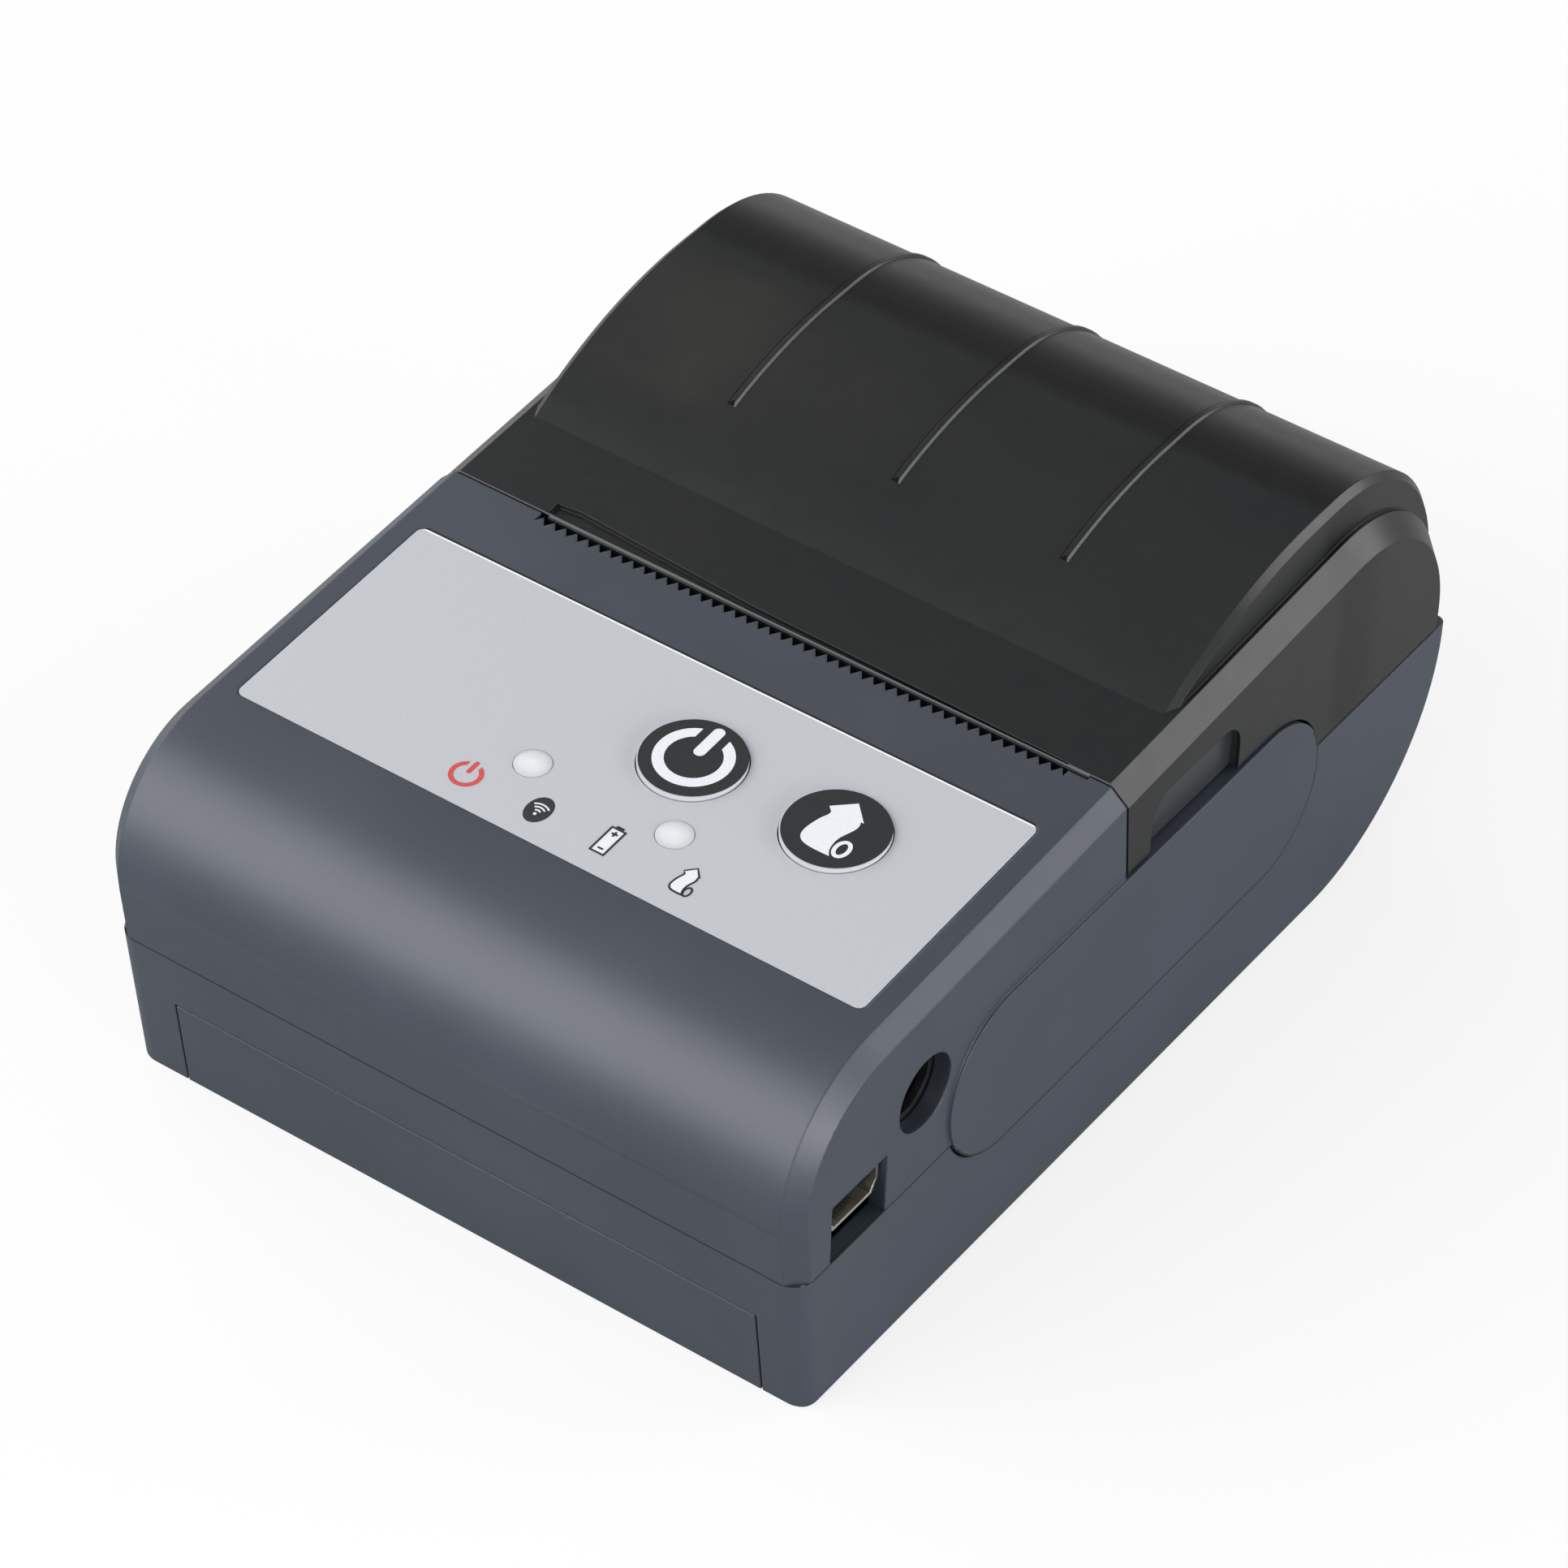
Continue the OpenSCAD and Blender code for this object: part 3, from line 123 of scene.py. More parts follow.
world = bpy.data.worlds.new("light_tent")
bpy.context.scene.world = world
world.use_nodes = True
tent = world.node_tree
tent.nodes.clear()
direction = add(tent, "ShaderNodeTexCoord")
height = add(tent, "ShaderNodeSeparateXYZ", inputs={0: direction.outputs["Generated"]})
cloth = add(tent, "ShaderNodeValToRGB",
            {"stops": [(0.0, "#eeeeef"), (0.35, "#a0a1a3"), (0.62, "#77787b"), (0.85, "#a4a4a5")]},
            {0: height.outputs["Z"]})
glow = add(tent, "ShaderNodeBackground", inputs={"Color": cloth, "Strength": 1.0})
white = add(tent, "ShaderNodeBackground", inputs={"Color": (1, 1, 1, 1), "Strength": 1.0})
cloth_or_white = add(tent, "ShaderNodeMixShader", inputs={0: white_share(tent), 1: glow, 2: white})
add(tent, "ShaderNodeOutputWorld", inputs={"Surface": cloth_or_white})


# Softboxes. The large one, low in front on the left, draws the broad highlight along the nose. The
# one behind on the right lights the bevels along the right side, and one on each side lifts the walls.
softbox_distance = 1.2


def softbox(name, toward, size, power):
    """A rectangular area lamp that shines at the printer from the given side."""
    lamp = bpy.data.lights.new(name, "AREA")
    lamp.shape = "RECTANGLE"
    lamp.size = size[0]
    lamp.size_y = size[1]
    lamp.energy = power
    holder = bpy.data.objects.new(name, lamp)
    side = Vector(toward).normalized()
    aim = side.to_track_quat("Z", "Y").to_matrix().to_4x4()
    holder.matrix_world = Matrix.Translation(side * softbox_distance) @ aim
    bpy.context.scene.collection.objects.link(holder)


softbox("front_softbox", (-0.423, -0.76, 0.494), (1.6, 1.1), 17)
softbox("rear_right_softbox", (0.626, 0.677, 0.387), (0.7, 0.5), 3.8)
softbox("right_softbox", (0.98, -0.15, 0.16), (1.0, 0.3), 11)
softbox("left_softbox", (-0.9, 0.2, 0.4), (1.0, 1.0), 6)


# Table. A sheet of pale studio paper, laid flat a hair below the printer. The camera sees it near
# white, with the printer's soft shadow.
reach = 3.0
below_printer = 0.00005
table_mesh = bpy.data.meshes.new("table")
corners = [(-reach, -reach, 0), (reach, -reach, 0), (reach, reach, 0), (-reach, reach, 0)]
table_mesh.from_pydata(corners, [], [(0, 1, 2, 3)])
table = bpy.data.objects.new("table", table_mesh)
bpy.context.scene.collection.objects.link(table)
table.location.z = cad_box[0][2] - below_printer
paper = bpy.data.materials.new("pale_studio_paper")
paper.use_nodes = True
tree = paper.node_tree
tree.nodes.clear()
sheet = add(tree, "ShaderNodeBsdfDiffuse", inputs={"Color": linear("#acacac")})
white_sheet = add(tree, "ShaderNodeBsdfDiffuse", inputs={"Color": linear("#f8f8f8")})
shine = add(tree, "ShaderNodeEmission", inputs={"Color": (1, 1, 1, 1), "Strength": 1.0})
pale = add(tree, "ShaderNodeMixShader", inputs={0: 0.78, 1: white_sheet, 2: shine})
sheet_or_pale = add(tree, "ShaderNodeMixShader", inputs={0: white_share(tree), 1: sheet, 2: pale})
add(tree, "ShaderNodeOutputMaterial", inputs={"Surface": sheet_or_pale})
table_mesh.materials.append(paper)


# Housings and battery door. Injection-moulded blue-grey ABS with a fine spark-eroded finish, which
# spreads the softbox into a wide satin highlight, and 0.3 mm radii on its edges. Painted shadow lines
# mark its fine gaps.
def surface(name, edge=0.0):
    """Starts a material: its node tree, its shader, a place on the piece in millimetres, and the
    normal, rounded at the edges by a radius in millimetres."""
    made = bpy.data.materials.new(name)
    made.use_nodes = True
    tree = made.node_tree
    place = add(tree, "ShaderNodeTexCoord")
    mm = add(tree, "ShaderNodeVectorMath", {"operation": "SCALE"},
             {0: place.outputs["Object"], "Scale": 1000.0})
    if edge:
        normal = add(tree, "ShaderNodeBevel", {"samples": 6}, {"Radius": edge / 1000})
    else:
        normal = add(tree, "ShaderNodeNewGeometry").outputs["Normal"]
    return made, tree, tree.nodes["Principled BSDF"], mm, normal


def moulded(name, dark, light, roughness, edge=0.15, grain=0.3, depth=0.01, gaps=None):
    """A moulded plastic or rubber whose colour drifts between two tones over centimetres, with a
    grain of the given size and depth in millimetres. Gaps says where fine gaps lie in shadow."""
    made, tree, shader, mm, normal = surface(name, edge)
    drift = add(tree, "ShaderNodeTexNoise", inputs={"Vector": mm, "Scale": 0.06, "Detail": 3.0})
    colour = add(tree, "ShaderNodeValToRGB", {"stops": [(0.3, dark), (0.7, light)]}, {0: drift})
    grit = add(tree, "ShaderNodeTexNoise", inputs={"Vector": mm, "Scale": 1 / grain, "Detail": 2.0})
    bump = add(tree, "ShaderNodeBump",
               inputs={"Distance": depth / 1000, "Height": grit, "Normal": normal})
    gloss = add(tree, "ShaderNodeMapRange",
                inputs={"Value": grit, "To Min": roughness - 0.04, "To Max": roughness + 0.04})
    if gaps:
        shade = gaps(tree, mm)
        colour = add(tree, "ShaderNodeMix", {"data_type": "RGBA"},
                     {0: shade, 6: colour, 7: linear("#08090b")}).outputs[2]
        gloss = add(tree, "ShaderNodeMath", {"operation": "MAXIMUM"}, {0: gloss, 1: shade})
    feed(tree, shader, {"Base Color": colour, "Normal": bump, "Roughness": gloss, "IOR": 1.53})
    return made


def overlap(tree, *masks):
    """Where all of some masks hold."""
    product = 1.0
    for mask in masks:
        product = add(tree, "ShaderNodeMath", {"operation": "MULTIPLY"}, {0: mask, 1: product})
    return product


def middle(name, side=0):
    """The middle of a node, in millimetres, with its lowest and highest corner. A side of -1 or 1
    takes only its left or right half."""
    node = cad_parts[name]
    spots = [node.matrix_world @ v.co * 1000 for v in node.data.vertices]
    centre = sum((p.x for p in spots)) / len(spots)
    spots = [p for p in spots if (p.x - centre) * side >= 0]
    low = Vector([min(p[k] for p in spots) for k in range(3)])
    high = Vector([max(p[k] for p in spots) for k in range(3)])
    return (low + high) / 2, low, high


label_low, label_high = middle("label_panel")[1:]


shadow = 0.12          # half the width of a painted shadow line
joint_z = 16.72        # where the housings meet
joint_end_y = -29.8    # where the joint runs into the side pads
wall_x = 37.7          # the side walls' outer faces lie beyond it
nose_y = -51.5         # and the nose's face before it
pad_front_y = -21.6    # a side pad's middle line
pad_rear_y = 20.8
pad_z = 20.3
pad_rim = 8.62         # the pad's rim, from its middle line
label_level = 36.0     # the top around the label lies above it
label_half_x = 33.6
label_gap = (0.12, 0.1)    # the gap behind the label: its middle, from the edge, and half its width


# Painted shade: near-black, fully rough lines where shadow lies in the fine gaps.
def casing_gap_shadows(tree, mm):
    """The joint of both housings, the shaded lower and rear rim of each side pad, and the gap
    behind the label."""
    place = add(tree, "ShaderNodeSeparateXYZ", inputs={0: mm})
    aside = add(tree, "ShaderNodeMath", {"operation": "ABSOLUTE"}, {0: place.outputs["X"]})
    wall = add(tree, "ShaderNodeMath", {"operation": "GREATER_THAN"}, {0: aside, 1: wall_x})

    nose = add(tree, "ShaderNodeMath", {"operation": "LESS_THAN"}, {0: place.outputs["Y"], 1: nose_y})
    outer = add(tree, "ShaderNodeMath", {"operation": "MAXIMUM"}, {0: wall, 1: nose})
    front = add(tree, "ShaderNodeMath", {"operation": "LESS_THAN"},
                {0: place.outputs["Y"], 1: joint_end_y})
    joint = add(tree, "ShaderNodeMath", {"operation": "COMPARE"},
                {0: place.outputs["Z"], 1: joint_z, 2: shadow})
    joint = overlap(tree, joint, front, outer)

    above = add(tree, "ShaderNodeVectorMath", {"operation": "MAXIMUM"},
                {0: mm, 1: (-99, pad_front_y, pad_z)})
    on_line = add(tree, "ShaderNodeVectorMath", {"operation": "MINIMUM"},
                  {0: above, 1: (99, pad_rear_y, pad_z)})
    away = add(tree, "ShaderNodeVectorMath", {"operation": "DISTANCE"}, {0: mm, 1: on_line})
    rim = add(tree, "ShaderNodeMath", {"operation": "COMPARE"},
              {0: away.outputs["Value"], 1: pad_rim, 2: shadow})
    offset = add(tree, "ShaderNodeVectorMath", {"operation": "SUBTRACT"}, {0: mm, 1: on_line})
    downward = add(tree, "ShaderNodeVectorMath", {"operation": "DOT_PRODUCT"},
                   {0: offset, 1: (0, 0.6, -1)})
    lower = add(tree, "ShaderNodeMath", {"operation": "GREATER_THAN"},
                {0: downward.outputs["Value"], 1: 0.0})
    rim = overlap(tree, rim, wall, lower)

    behind = add(tree, "ShaderNodeMath", {"operation": "COMPARE"},
                 {0: place.outputs["Y"], 1: label_high.y + label_gap[0], 2: label_gap[1]})
    across = add(tree, "ShaderNodeMath", {"operation": "LESS_THAN"}, {0: aside, 1: label_half_x})
    top = add(tree, "ShaderNodeMath", {"operation": "GREATER_THAN"},
              {0: place.outputs["Z"], 1: label_level})
    behind = overlap(tree, behind, across, top)

    on_walls = add(tree, "ShaderNodeMath", {"operation": "MAXIMUM"}, {0: joint, 1: rim})
    return add(tree, "ShaderNodeMath", {"operation": "MAXIMUM"}, {0: on_walls, 1: behind})


def dress(material, *names):
    """Gives CAD nodes a material in place of their plain one."""
    for name in names:
        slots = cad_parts[name].data.materials
        slots.clear()
        slots.append(material)


casing_abs = moulded("blue_grey_abs_spark_eroded", "#2e3541", "#333b47", 0.46, 0.3, gaps=casing_gap_shadows)
casing_abs.node_tree.nodes["Principled BSDF"].inputs["Specular IOR Level"].default_value = 0.75
dress(casing_abs, "lower_housing", "upper_housing", "battery_door")


# Battery pack. Two cells side by side in blue PVC shrink wrap, drawn tight with faint wrinkles. The
# pack lies in its bay behind the battery door.
wrap, tree, shader, mm, normal = surface("blue_pvc_shrink_wrap", 0.4)
wrinkle = add(tree, "ShaderNodeTexWave", {"bands_direction": "Y"},
              {"Vector": mm, "Scale": 0.08, "Distortion": 6.0, "Detail": 3.0})
tone = add(tree, "ShaderNodeValToRGB", {"stops": [(0.0, "#235a94"), (1.0, "#2e6dad")]}, {0: wrinkle})
bump = add(tree, "ShaderNodeBump", inputs={"Distance": 0.0001, "Height": wrinkle, "Normal": normal})
feed(tree, shader, {"Base Color": tone, "Normal": bump, "Roughness": 0.28})
dress(wrap, "battery_pack")


# Metal parts. Stamped, turned and wound pieces, each with fine marks along the way it was worked.
# The first two metals are the battery's gold-plated contact springs and the zinc-plated screws.
def metal(name, dark, light, roughness, marks=(1.0, 12.0, 12.0), edge=0.05):
    """A bare or plated metal with stretched working marks. Marks says how fine they are along x, y
    and z. They are drawn coarser than real ones, so that they show."""
    made, tree, shader, mm, normal = surface(name, edge)
    stretched = add(tree, "ShaderNodeVectorMath", {"operation": "MULTIPLY"}, {0: mm, 1: marks})
    lines = add(tree, "ShaderNodeTexNoise", inputs={"Vector": stretched, "Scale": 0.5, "Detail": 4.0})
    tone = add(tree, "ShaderNodeValToRGB", {"stops": [(0.3, dark), (0.7, light)]}, {0: lines})
    polish = add(tree, "ShaderNodeMapRange",
                 inputs={"Value": lines, "To Min": roughness - 0.08, "To Max": roughness + 0.08})
    bump = add(tree, "ShaderNodeBump",
               inputs={"Distance": 0.000004, "Height": lines, "Normal": normal})
    feed(tree, shader, {"Base Color": tone, "Roughness": polish, "Normal": bump, "Metallic": 1.0})
    return made


dress(metal("gold_plated_contact_spring", "#c39a3d", "#d8b45c", 0.25, (12.0, 12.0, 1.0)),
      "battery_contacts")
dress(metal("zinc_plated_screw_steel", "#8b8f95", "#a6abb1", 0.32, (4.0, 4.0, 4.0)),
      "housing_screws", "mechanism_screws", "board_screws", "holder_screws", "key_board_screws")


# Boards. Glass laminate under green solder mask. The copper tracks show through it as paler lines,
# with the mask a hair higher over them. The chips, switches and lamps are soldered on.
board, tree, shader, mm, normal = surface("green_solder_mask_on_laminate")
tracks = add(tree, "ShaderNodeTexBrick", {"offset": 0.37, "squash": 0.6},
             {"Vector": mm, "Scale": 1.0, "Mortar Size": 0.12, "Brick Width": 2.6, "Row Height": 1.3,
              "Color1": linear("#0f3f28"), "Color2": linear("#124a2f"), "Mortar": linear("#2a7048")})
bump = add(tree, "ShaderNodeBump",
           inputs={"Distance": 0.00003, "Height": tracks.outputs["Fac"], "Normal": normal})
feed(tree, shader, {"Base Color": tracks.outputs["Color"], "Normal": bump, "Roughness": 0.3})
dress(board, "main_board", "key_board")
dress(moulded("matte_chip_epoxy", "#1c1d1f", "#26272a", 0.6, 0.08, 0.12, 0.006),
      "board_chips", "key_switches", "paper_sensor")
dress(metal("tinned_radio_shield", "#a9aca8", "#c3c6c1", 0.35, (2.0, 8.0, 2.0)), "wireless_module")
dress(moulded("clear_lamp_resin", "#c9d2c9", "#e2e9e0", 0.15, 0.1, 1.0, 0.002), "key_lights")


# Sockets. The data socket is a folded nickel-plated shell round a black tongue. The power jack is
# black nylon with a ribbed bore round a nickel-plated pin.
dress(metal("nickel_plated_socket_shell", "#dedbcd", "#f3f0e4", 0.3, (1.0, 10.0, 10.0)),
      "data_socket", "jack_pin")
dress(moulded("black_nylon_socket", "#141517", "#1c1d20", 0.38, 0.1, 0.4, 0.005),
      "data_tongue", "power_jack")


# Print mechanism. A zinc-plated steel frame holds the ceramic head on its aluminium heat sink, the
# motor and the gear train. The platen is black rubber on a ground steel shaft.
dress(metal("zinc_plated_frame_steel", "#83888d", "#a0a5aa", 0.34, (1.0, 3.0, 3.0)),
      "mechanism_frame", "feed_motor")
dress(metal("ground_shaft_steel", "#aeb2b7", "#cdd0d4", 0.18, (6.0, 1.0, 1.0)),
      "platen_shaft", "motor_shaft", "gear_post", "head_pivot_pin", "hinge_pins", "head_springs")
dress(metal("extruded_aluminium", "#9fa4a9", "#bcc1c5", 0.36, (0.5, 10.0, 10.0)), "head_heatsink")
dress(metal("hobbed_brass", "#a8873f", "#c9a85e", 0.25, (1.0, 8.0, 8.0)), "motor_pinion")
dress(moulded("natural_acetal", "#dcd8cb", "#e8e5da", 0.4, 0.06, 0.5, 0.003),
      "platen_gear", "reduction_gear", "platen_bushes")
dress(moulded("black_platen_rubber", "#1e1e1f", "#282829", 0.75, 0.2, 0.08, 0.006), "platen_roller")
dress(moulded("dark_grey_tray_abs", "#2e3034", "#383a3f", 0.5, 0.2), "paper_tray")
dress(moulded("black_glass_filled_nylon", "#1f2123", "#292b2e", 0.55, 0.12, 0.25, 0.01), "platen_holder")


# Print head. Glazed white alumina, bonded to its heat sink, with the brown line of heater dots a
# little below its upper edge.
dots_below_edge = 2.6
head_top = middle("print_head")[2].z
alumina, tree, shader, mm, normal = surface("glazed_alumina", 0.05)
place = add(tree, "ShaderNodeSeparateXYZ", inputs={0: mm})
offset = add(tree, "ShaderNodeMath", {"operation": "SUBTRACT"},
             {0: place.outputs["Z"], 1: head_top - dots_below_edge})
offset = add(tree, "ShaderNodeMath", {"operation": "ABSOLUTE"}, {0: offset})
tone = add(tree, "ShaderNodeValToRGB",
           {"stops": [(0.0, "#6d4a2c"), (0.35, "#6d4a2c"), (0.45, "#dcd9d0")]}, {0: offset})
cloud = add(tree, "ShaderNodeTexNoise", inputs={"Vector": mm, "Scale": 0.8})
polish = add(tree, "ShaderNodeMapRange", inputs={"Value": cloud, "To Min": 0.12, "To Max": 0.3})
feed(tree, shader, {"Base Color": tone, "Roughness": polish, "Normal": normal})
dress(alumina, "print_head")


# Ribbon cables. Amber polyimide film over copper conductors 0.5 mm apart, which run along it and
# show as darker stripes.
film, tree, shader, mm, normal = surface("amber_polyimide_ribbon")
stripes = add(tree, "ShaderNodeTexWave", {"bands_direction": "X"}, {"Vector": mm, "Scale": 0.63})
tone = add(tree, "ShaderNodeValToRGB", {"stops": [(0.35, "#8f5a1c"), (0.55, "#c08434")]}, {0: stripes})
feed(tree, shader, {"Base Color": tone, "Normal": normal, "Roughness": 0.25})
dress(film, "head_ribbon", "key_ribbon")


# Paper cover. Smoked polycarbonate, moulded nearly black and glossier than the casing. Its colour
# carries a patch, a band and the lip, grips painted paler as painted light against their shade, painted
# shade along the lower edge, and a painted shadow and a painted highlight along each rib. The rib
# lines aren't limited to the outer face, so they also show inside, where there are no ribs.
patch_from_x = -12.0   # the patch grows from here
patch_to_x = -24.0     # to here
cover_l = 50.0         # the patch and the band are placed as shares of it
lip_y = -3.95
lip_half = 0.17
lip_above_z = 36.0
grip_spans = (("X", 36.95, 0.7), ("Y", 7.95, 7.4), ("Z", 31.6, 3.6))
shaded_below_z = 22.05
rib_pitch = 18.5
ribs_within_x = 28.0   # the outer ribs and their feet lie within it
# The ribs' painted shadow and painted highlight lines:
rib_shadow = (-0.34, 0.2)         # across a rib: the middle and half the width of its dark line
rib_end_shadow = (-0.17, 0.37)    # the same of the shadow at its end
rib_light = (0.33, 0.1)           # and of its light line
rib_end_y = 14.8
rib_tip = 0.14         # half the length of the shadow at a rib's end
light_from_y = 28.0    # the light line grows from here down to the rib's end
light_to_y = 15.0

smoked, tree, shader, mm, normal = surface("smoked_polycarbonate", 0.14)
place = add(tree, "ShaderNodeSeparateXYZ", inputs={0: mm})
aside = add(tree, "ShaderNodeMath", {"operation": "ABSOLUTE"}, {0: place.outputs["X"]})
clouds = add(tree, "ShaderNodeTexNoise", inputs={"Vector": mm, "Scale": 0.045, "Detail": 2.0})
clouds = add(tree, "ShaderNodeMath", {"operation": "MULTIPLY_ADD"}, {0: clouds, 1: 0.5, 2: 0.25})
along = add(tree, "ShaderNodeMapRange", inputs={"Value": place.outputs["Y"], "From Max": cover_l})
on_dome = add(tree, "ShaderNodeValToRGB",
                {"stops": [(0.2, "#000000"), (0.28, "#ffffff"), (0.56, "#ffffff"), (0.62, "#000000")]},
                {0: along})
at_left = add(tree, "ShaderNodeMapRange",
              inputs={"Value": place.outputs["X"], "From Min": patch_from_x, "From Max": patch_to_x,
                      "To Max": 0.22})
clouds = add(tree, "ShaderNodeMath", {"operation": "MULTIPLY_ADD"},
             {0: on_dome, 1: at_left, 2: clouds})
tone = add(tree, "ShaderNodeValToRGB",
           {"stops": [(0.35, "#141617"), (0.6, "#1b1c1c"), (0.75, "#262522")]}, {0: clouds})
band = add(tree, "ShaderNodeValToRGB",
           {"stops": [(0.616, "#000000"), (0.652, "#ffffff"), (0.716, "#ffffff"), (0.8, "#000000")]},
           {0: along})

lip = add(tree, "ShaderNodeMath", {"operation": "COMPARE"},
          {0: place.outputs["Y"], 1: lip_y, 2: lip_half})
high = add(tree, "ShaderNodeMath", {"operation": "GREATER_THAN"}, {0: place.outputs["Z"], 1: lip_above_z})
lip = overlap(tree, lip, high)
# Painted light: the finger grips are painted paler, against the shade that falls in them.
grip_painted_light = 1.0
for axis, centre, half in grip_spans:
    length = add(tree, "ShaderNodeMath", {"operation": "ABSOLUTE"}, {0: place.outputs[axis]})
    within = add(tree, "ShaderNodeMath", {"operation": "COMPARE"}, {0: length, 1: centre, 2: half})
    grip_painted_light = overlap(tree, within, grip_painted_light)
# Painted shade: near black and fully rough along the cover's lower edge.
edge = add(tree, "ShaderNodeMath", {"operation": "LESS_THAN"},
           {0: place.outputs["Z"], 1: shaded_below_z})

# Painted shadow and highlight: a near-black line without gloss along each rib's left flank and end, and a
# paler line along its right flank, growing towards the rib's end.
from_rib = add(tree, "ShaderNodeMath", {"operation": "WRAP"},
               {0: place.outputs["X"], 1: rib_pitch / 2, 2: -rib_pitch / 2})
ribbed = add(tree, "ShaderNodeMath", {"operation": "LESS_THAN"}, {0: aside, 1: ribs_within_x})
past_end = add(tree, "ShaderNodeMath", {"operation": "GREATER_THAN"},
               {0: place.outputs["Y"], 1: rib_end_y - rib_tip})
rib_painted_shadow = add(tree, "ShaderNodeMath", {"operation": "COMPARE"},
           {0: from_rib, 1: rib_shadow[0], 2: rib_shadow[1]})
rib_end_painted_shadow = add(tree, "ShaderNodeMath", {"operation": "COMPARE"},
          {0: from_rib, 1: rib_end_shadow[0], 2: rib_end_shadow[1]})
at_end = add(tree, "ShaderNodeMath", {"operation": "COMPARE"},
             {0: place.outputs["Y"], 1: rib_end_y, 2: rib_tip})
rib_end_painted_shadow = overlap(tree, rib_end_painted_shadow, at_end)
rib_painted_shadow = add(tree, "ShaderNodeMath", {"operation": "MAXIMUM"}, {0: rib_painted_shadow, 1: rib_end_painted_shadow})
rib_painted_shadow = overlap(tree, rib_painted_shadow, ribbed, past_end)
rib_painted_highlight = add(tree, "ShaderNodeMath", {"operation": "COMPARE"},
            {0: from_rib, 1: rib_light[0], 2: rib_light[1]})
low_down = add(tree, "ShaderNodeMapRange",
               inputs={"Value": place.outputs["Y"], "From Min": light_from_y, "From Max": light_to_y})
rib_painted_highlight = overlap(tree, rib_painted_highlight, low_down, ribbed, past_end)

colour = tone.outputs[0]
for mask, painted in ((band, "#040505"), (lip, "#66696b"), (grip_painted_light, "#2c3032"), (edge, "#030303"),
                      (rib_painted_shadow, "#030303"), (rib_painted_highlight, "#5f6264")):
    colour = add(tree, "ShaderNodeMix", {"data_type": "RGBA"},
                 {0: mask, 6: colour, 7: linear(painted)}).outputs[2]
scuffs = add(tree, "ShaderNodeTexNoise", inputs={"Vector": mm, "Scale": 0.5, "Detail": 5.0})
polish = add(tree, "ShaderNodeMapRange", inputs={"Value": scuffs, "To Min": 0.24, "To Max": 0.34})
polish = add(tree, "ShaderNodeMath", {"operation": "MAXIMUM"}, {0: polish, 1: edge})
shine = add(tree, "ShaderNodeMath", {"operation": "MULTIPLY_ADD"}, {0: rib_painted_shadow, 1: -0.35, 2: 0.5})
feed(tree, shader, {"Base Color": colour, "Roughness": polish, "Normal": normal,
                    "Specular IOR Level": shine, "IOR": 1.5})
dress(smoked, "paper_cover")


# Label. Silver-grey polyester film with a satin hard coat, die-cut and laid in its recess. Its rear
# edge catches the light, which is drawn as a painted highlight, a pale line.
pale_edge = 0.22
label_film, tree, shader, mm, normal = surface("silver_grey_polyester_film", 0.08)
sheen = add(tree, "ShaderNodeTexNoise", inputs={"Vector": mm, "Scale": 9.0, "Detail": 3.0})
tone = add(tree, "ShaderNodeValToRGB", {"stops": [(0.3, "#babdc2"), (0.7, "#c1c4c9")]}, {0: sheen})
bump = add(tree, "ShaderNodeBump", inputs={"Distance": 0.000003, "Height": sheen, "Normal": normal})
place = add(tree, "ShaderNodeSeparateXYZ", inputs={0: mm})
lit_rear_edge = add(tree, "ShaderNodeMath", {"operation": "GREATER_THAN"},
           {0: place.outputs["Y"], 1: label_high.y - pale_edge})
colour = add(tree, "ShaderNodeMix", {"data_type": "RGBA"},
             {0: lit_rear_edge, 6: tone, 7: linear("#f4f5f6")}).outputs[2]
feed(tree, shader, {"Base Color": colour, "Normal": bump, "Roughness": 0.42})
dress(label_film, "label_panel")


# Light windows. Milky acrylic lenses, whitest in the middle and greyer towards the rim. They fill
# the label's two small holes, above the lamps.
def from_centres(tree, mm, centres):
    """How far a place is, in plan, from the nearer of two centres."""
    flat = add(tree, "ShaderNodeVectorMath", {"operation": "MULTIPLY"}, {0: mm, 1: (1, 1, 0)})
    gaps = {}
    for k, centre in enumerate(centres):
        gap = add(tree, "ShaderNodeVectorMath", {"operation": "DISTANCE"},
                  {0: flat, 1: (centre.x, centre.y, 0)})
        gaps[k] = gap.outputs["Value"]
    return add(tree, "ShaderNodeMath", {"operation": "MINIMUM"}, gaps)


window_r = 1.8
milky, tree, shader, mm, normal = surface("milky_acrylic", 0.2)
nearer = from_centres(tree, mm, [middle("light_windows", side)[0] for side in (-1, 1)])
share = add(tree, "ShaderNodeMapRange", inputs={"Value": nearer, "From Max": window_r})
tone = add(tree, "ShaderNodeValToRGB",
           {"stops": [(0.0, "#e8eaeb"), (0.65, "#d8dbdd"), (1.0, "#bcbfc3")]}, {0: share})
feed(tree, shader, {"Base Color": tone, "Normal": normal, "Roughness": 0.3})
dress(milky, "light_windows")


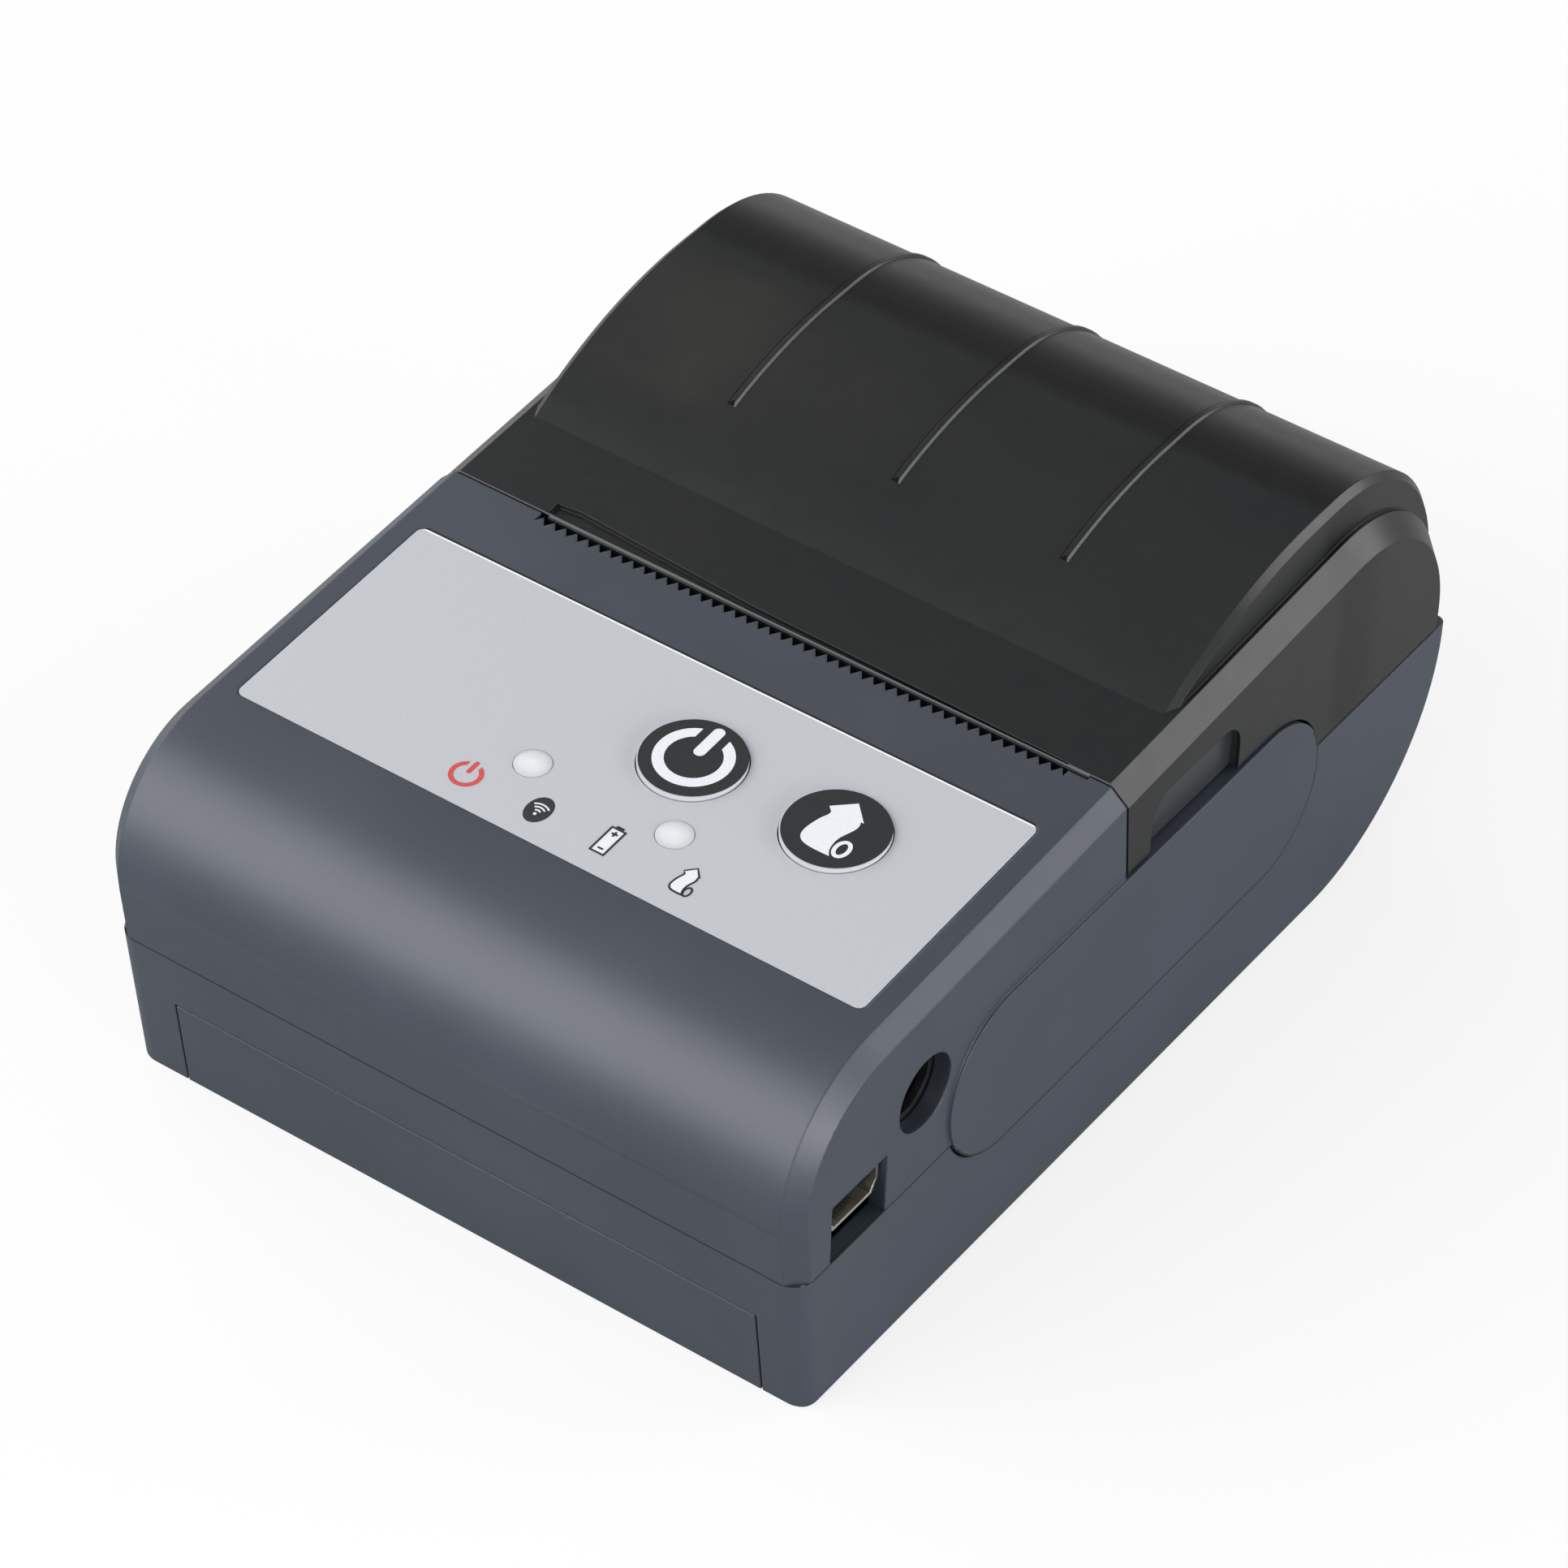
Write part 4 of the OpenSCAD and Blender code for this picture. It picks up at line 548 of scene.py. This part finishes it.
# Buttons. Keys printed black on top, with pale grey sides and a white mark on the print. Each
# stands a little above the label and slides in its hole.
print_r = 4.95
keys, tree, shader, mm, normal = surface("black_printed_key", 0.1)
way = add(tree, "ShaderNodeTexCoord")
tilt = add(tree, "ShaderNodeSeparateXYZ", inputs={0: way.outputs["Normal"]})
grit = add(tree, "ShaderNodeTexNoise", inputs={"Vector": mm, "Scale": 4.0, "Detail": 3.0})
ink = add(tree, "ShaderNodeValToRGB", {"stops": [(0.3, "#1f2124"), (0.7, "#26282b")]}, {0: grit})
upward = add(tree, "ShaderNodeMath", {"operation": "GREATER_THAN"}, {0: tilt.outputs["Z"], 1: 0.8})
nearer = from_centres(tree, mm, [middle(name)[0] for name in ("power_button", "feed_button")])
inside = add(tree, "ShaderNodeMath", {"operation": "LESS_THAN"}, {0: nearer, 1: print_r})
colour = add(tree, "ShaderNodeMix", {"data_type": "RGBA"},
             {0: overlap(tree, upward, inside), 6: linear("#c3c6cb"), 7: ink}).outputs[2]
bump = add(tree, "ShaderNodeBump", inputs={"Distance": 0.000004, "Height": grit, "Normal": normal})
feed(tree, shader, {"Base Color": colour, "Normal": bump, "Roughness": 0.38})
dress(keys, "power_button", "feed_button")


# Printed marks. Screen-printed ink films on the keys and the label: power marks, a radio badge, a
# battery and paper-feed marks. They are drawn flat in millimetres and laid on the sloping top.
top_slope = math.radians(3.2)
ink_film = 0.02
first_ink = 0.005      # how far a mark lies above the face it is printed on
second_ink = 0.03      # and one that is printed over another
key_proud = 0.4        # the keys' faces lie this far above the label


def ring_points(r, start, end, x=0.0, y=0.0, tall=1.0):
    """Points along an arc, with its angles in degrees. Tall stretches it along y."""
    count = max(8, round(abs(end - start) / 6))
    angles = [math.radians(start + (end - start) * k / count) for k in range(count + 1)]
    return [(x + r * math.cos(a), y + tall * r * math.sin(a)) for a in angles]


def bend(a, b, c, d, count=14):
    """Points along a cubic curve from a to d, without its first."""
    out = []
    for k in range(1, count + 1):
        t = k / count
        weights = ((1 - t) ** 3, 3 * t * (1 - t) ** 2, 3 * t * t * (1 - t), t ** 3)
        out.append(tuple(sum(w * p[i] for w, p in zip(weights, (a, b, c, d))) for i in (0, 1)))
    return out


def pen(points, width, closed=True):
    """A line of even width along points, as quads."""
    count = len(points)
    rows = []
    for k in range(count):
        before = Vector(points[k - 1] if closed or k else points[k])
        after = Vector(points[(k + 1) % count] if closed or k < count - 1 else points[k])
        way = (after - before).normalized()
        side = Vector((-way.y, way.x)) * width / 2
        rows.append((Vector(points[k]) + side, Vector(points[k]) - side))
    last = count if closed else count - 1
    pairs = [(rows[k], rows[(k + 1) % count]) for k in range(last)]
    return [[left, right, next_right, next_left] for (left, right), (next_left, next_right) in pairs]


def print_mark(name, patches, x, y, lift, body, ink, size=(1, 1)):
    """Lays flat patches on the top as a film of ink."""
    top = label_high.z + (y - label_high.y) * math.tan(top_slope) + lift
    points, faces = [], []
    for patch in patches:
        faces.append(range(len(points), len(points) + len(patch)))
        for u, v in patch:
            points.append(Vector((x + u * size[0], y + v * size[1] * math.cos(top_slope),
                                  top + v * size[1] * math.sin(top_slope))) / 1000)
    mesh = bpy.data.meshes.new(name)
    mesh.from_pydata(points, [], [list(face) for face in faces])
    piece = bpy.data.objects.new(name, mesh)
    bpy.context.scene.collection.objects.link(piece)
    thickness = piece.modifiers.new("ink_film", "SOLIDIFY")
    thickness.thickness = ink_film / 1000
    mesh.materials.append(ink)
    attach(piece, body)


def printing_ink(name, colour, worn):
    """Ink that lies a little unevenly on its film."""
    made, tree, shader, mm, normal = surface(name)
    cover = add(tree, "ShaderNodeTexNoise", inputs={"Vector": mm, "Scale": 6.0, "Detail": 3.0})
    tone = add(tree, "ShaderNodeValToRGB", {"stops": [(0.35, colour), (0.8, worn)]}, {0: cover})
    feed(tree, shader, {"Base Color": tone, "Normal": normal, "Roughness": 0.5})
    return made


white_ink = printing_ink("white_screen_ink", "#eceef2", "#dfe2e8")
black_ink = printing_ink("black_screen_ink", "#1f2226", "#2b2e33")
red_ink = printing_ink("red_screen_ink", "#c9413f", "#d4615c")

outer_r = 3.72
inner_r = 2.65
stroke_gap = 1.45
stroke_r = 0.57
outer_end = math.degrees(math.acos(stroke_gap / outer_r))
inner_end = math.degrees(math.acos(stroke_gap / inner_r))
power_mark = [ring_points(outer_r, outer_end, -180 - outer_end)
              + ring_points(inner_r, -180 - inner_end, inner_end),
              ring_points(stroke_r, 0, 180, 0, 3.78) + ring_points(stroke_r, 180, 360, 0, 0.92)]
feed_band = ([(-0.2, 3.6), (1.58, 1.83), (1.28, 1.8)]
             + bend((1.28, 1.8), (1.9, 0.8), (0.8, -0.2), (0.82, -1.4))
             + bend((0.82, -1.4), (0.82, -2.3), (1.05, -2.8), (1.42, -3.2))
             + bend((1.42, -3.2), (0.5, -3.25), (-0.4, -3.25), (-0.98, -3.18))
             + bend((-0.98, -3.18), (-2.6, -2.95), (-2.4, -1.6), (-2.03, -0.12))
             + bend((-2.03, -0.12), (-1.85, 0.6), (-1.45, 1.0), (-1.62, 1.42))
             + [(-2.14, 1.89)])
feed_roll = pen(ring_points(0.62, 0, 354, 1.87, -1.9, 1.55), 0.4)
power_x, power_y = middle("power_button")[0].xy
feed_x, feed_y = middle("feed_button")[0].xy
key_lift = key_proud / math.cos(top_slope) + first_ink
print_mark("power_key_mark", power_mark, power_x, power_y, key_lift,
           "power_key", white_ink)
print_mark("feed_key_mark", [feed_band] + feed_roll, feed_x, feed_y, key_lift,
           "feed_key", white_ink)

mark_y = (label_low.y + label_high.y) / 2 - 9.75
small_power_x = -10.9
radio_x = -2.95
battery_x = 4.3
small_feed_x = 12.84
small_power_size = (0.43, 0.43)
small_feed_size = (0.44, 0.5)
print_mark("small_power_mark", power_mark, small_power_x, mark_y - 0.2, first_ink,
           "casing", red_ink, small_power_size)

badge = [ring_points(1.25, 0, 354, 0, 0, 1.36)]
print_mark("radio_badge", badge, radio_x, mark_y - 0.1, first_ink, "casing", black_ink)
waves = [patch for r in (0.45, 0.85, 1.25) for patch in pen(ring_points(r, 50, 130, 0, -0.55), 0.16, False)]
waves.append(ring_points(0.16, 0, 330, 0, -0.6))
print_mark("radio_badge_waves", waves, radio_x, mark_y - 0.1, second_ink,
           "casing", white_ink)

case = [(-0.72, -1.65), (0.72, -1.65), (0.72, 1.65), (-0.72, 1.65)]
bars = [(-0.82, -1.75, -0.62, 1.75), (0.62, -1.75, 0.82, 1.75), (-0.62, -1.75, 0.62, -1.55),
        (-0.62, 1.55, 0.62, 1.75), (-0.4, 1.75, 0.4, 2.02), (-0.32, 0.9, 0.32, 1.1),
        (-0.1, 1.1, 0.1, 1.32), (-0.1, 0.68, 0.1, 0.9), (-0.28, -1.18, 0.28, -0.98)]
battery = [[(a, b), (c, b), (c, d), (a, d)] for a, b, c, d in bars]
print_mark("battery_mark_fill", [case], battery_x, mark_y + 0.25, first_ink,
           "casing", white_ink)
print_mark("battery_mark", battery, battery_x, mark_y + 0.25, second_ink,
           "casing", black_ink)

small_roll = pen(ring_points(0.75, 0, 354, 1.87, -2.1, 1.5), 0.42)
print_mark("small_feed_mark_fill", [feed_band], small_feed_x, mark_y + 0.2, first_ink,
           "casing", white_ink, small_feed_size)
print_mark("small_feed_mark", pen(feed_band, 0.42) + small_roll, small_feed_x, mark_y + 0.2, second_ink,
           "casing", black_ink, small_feed_size)
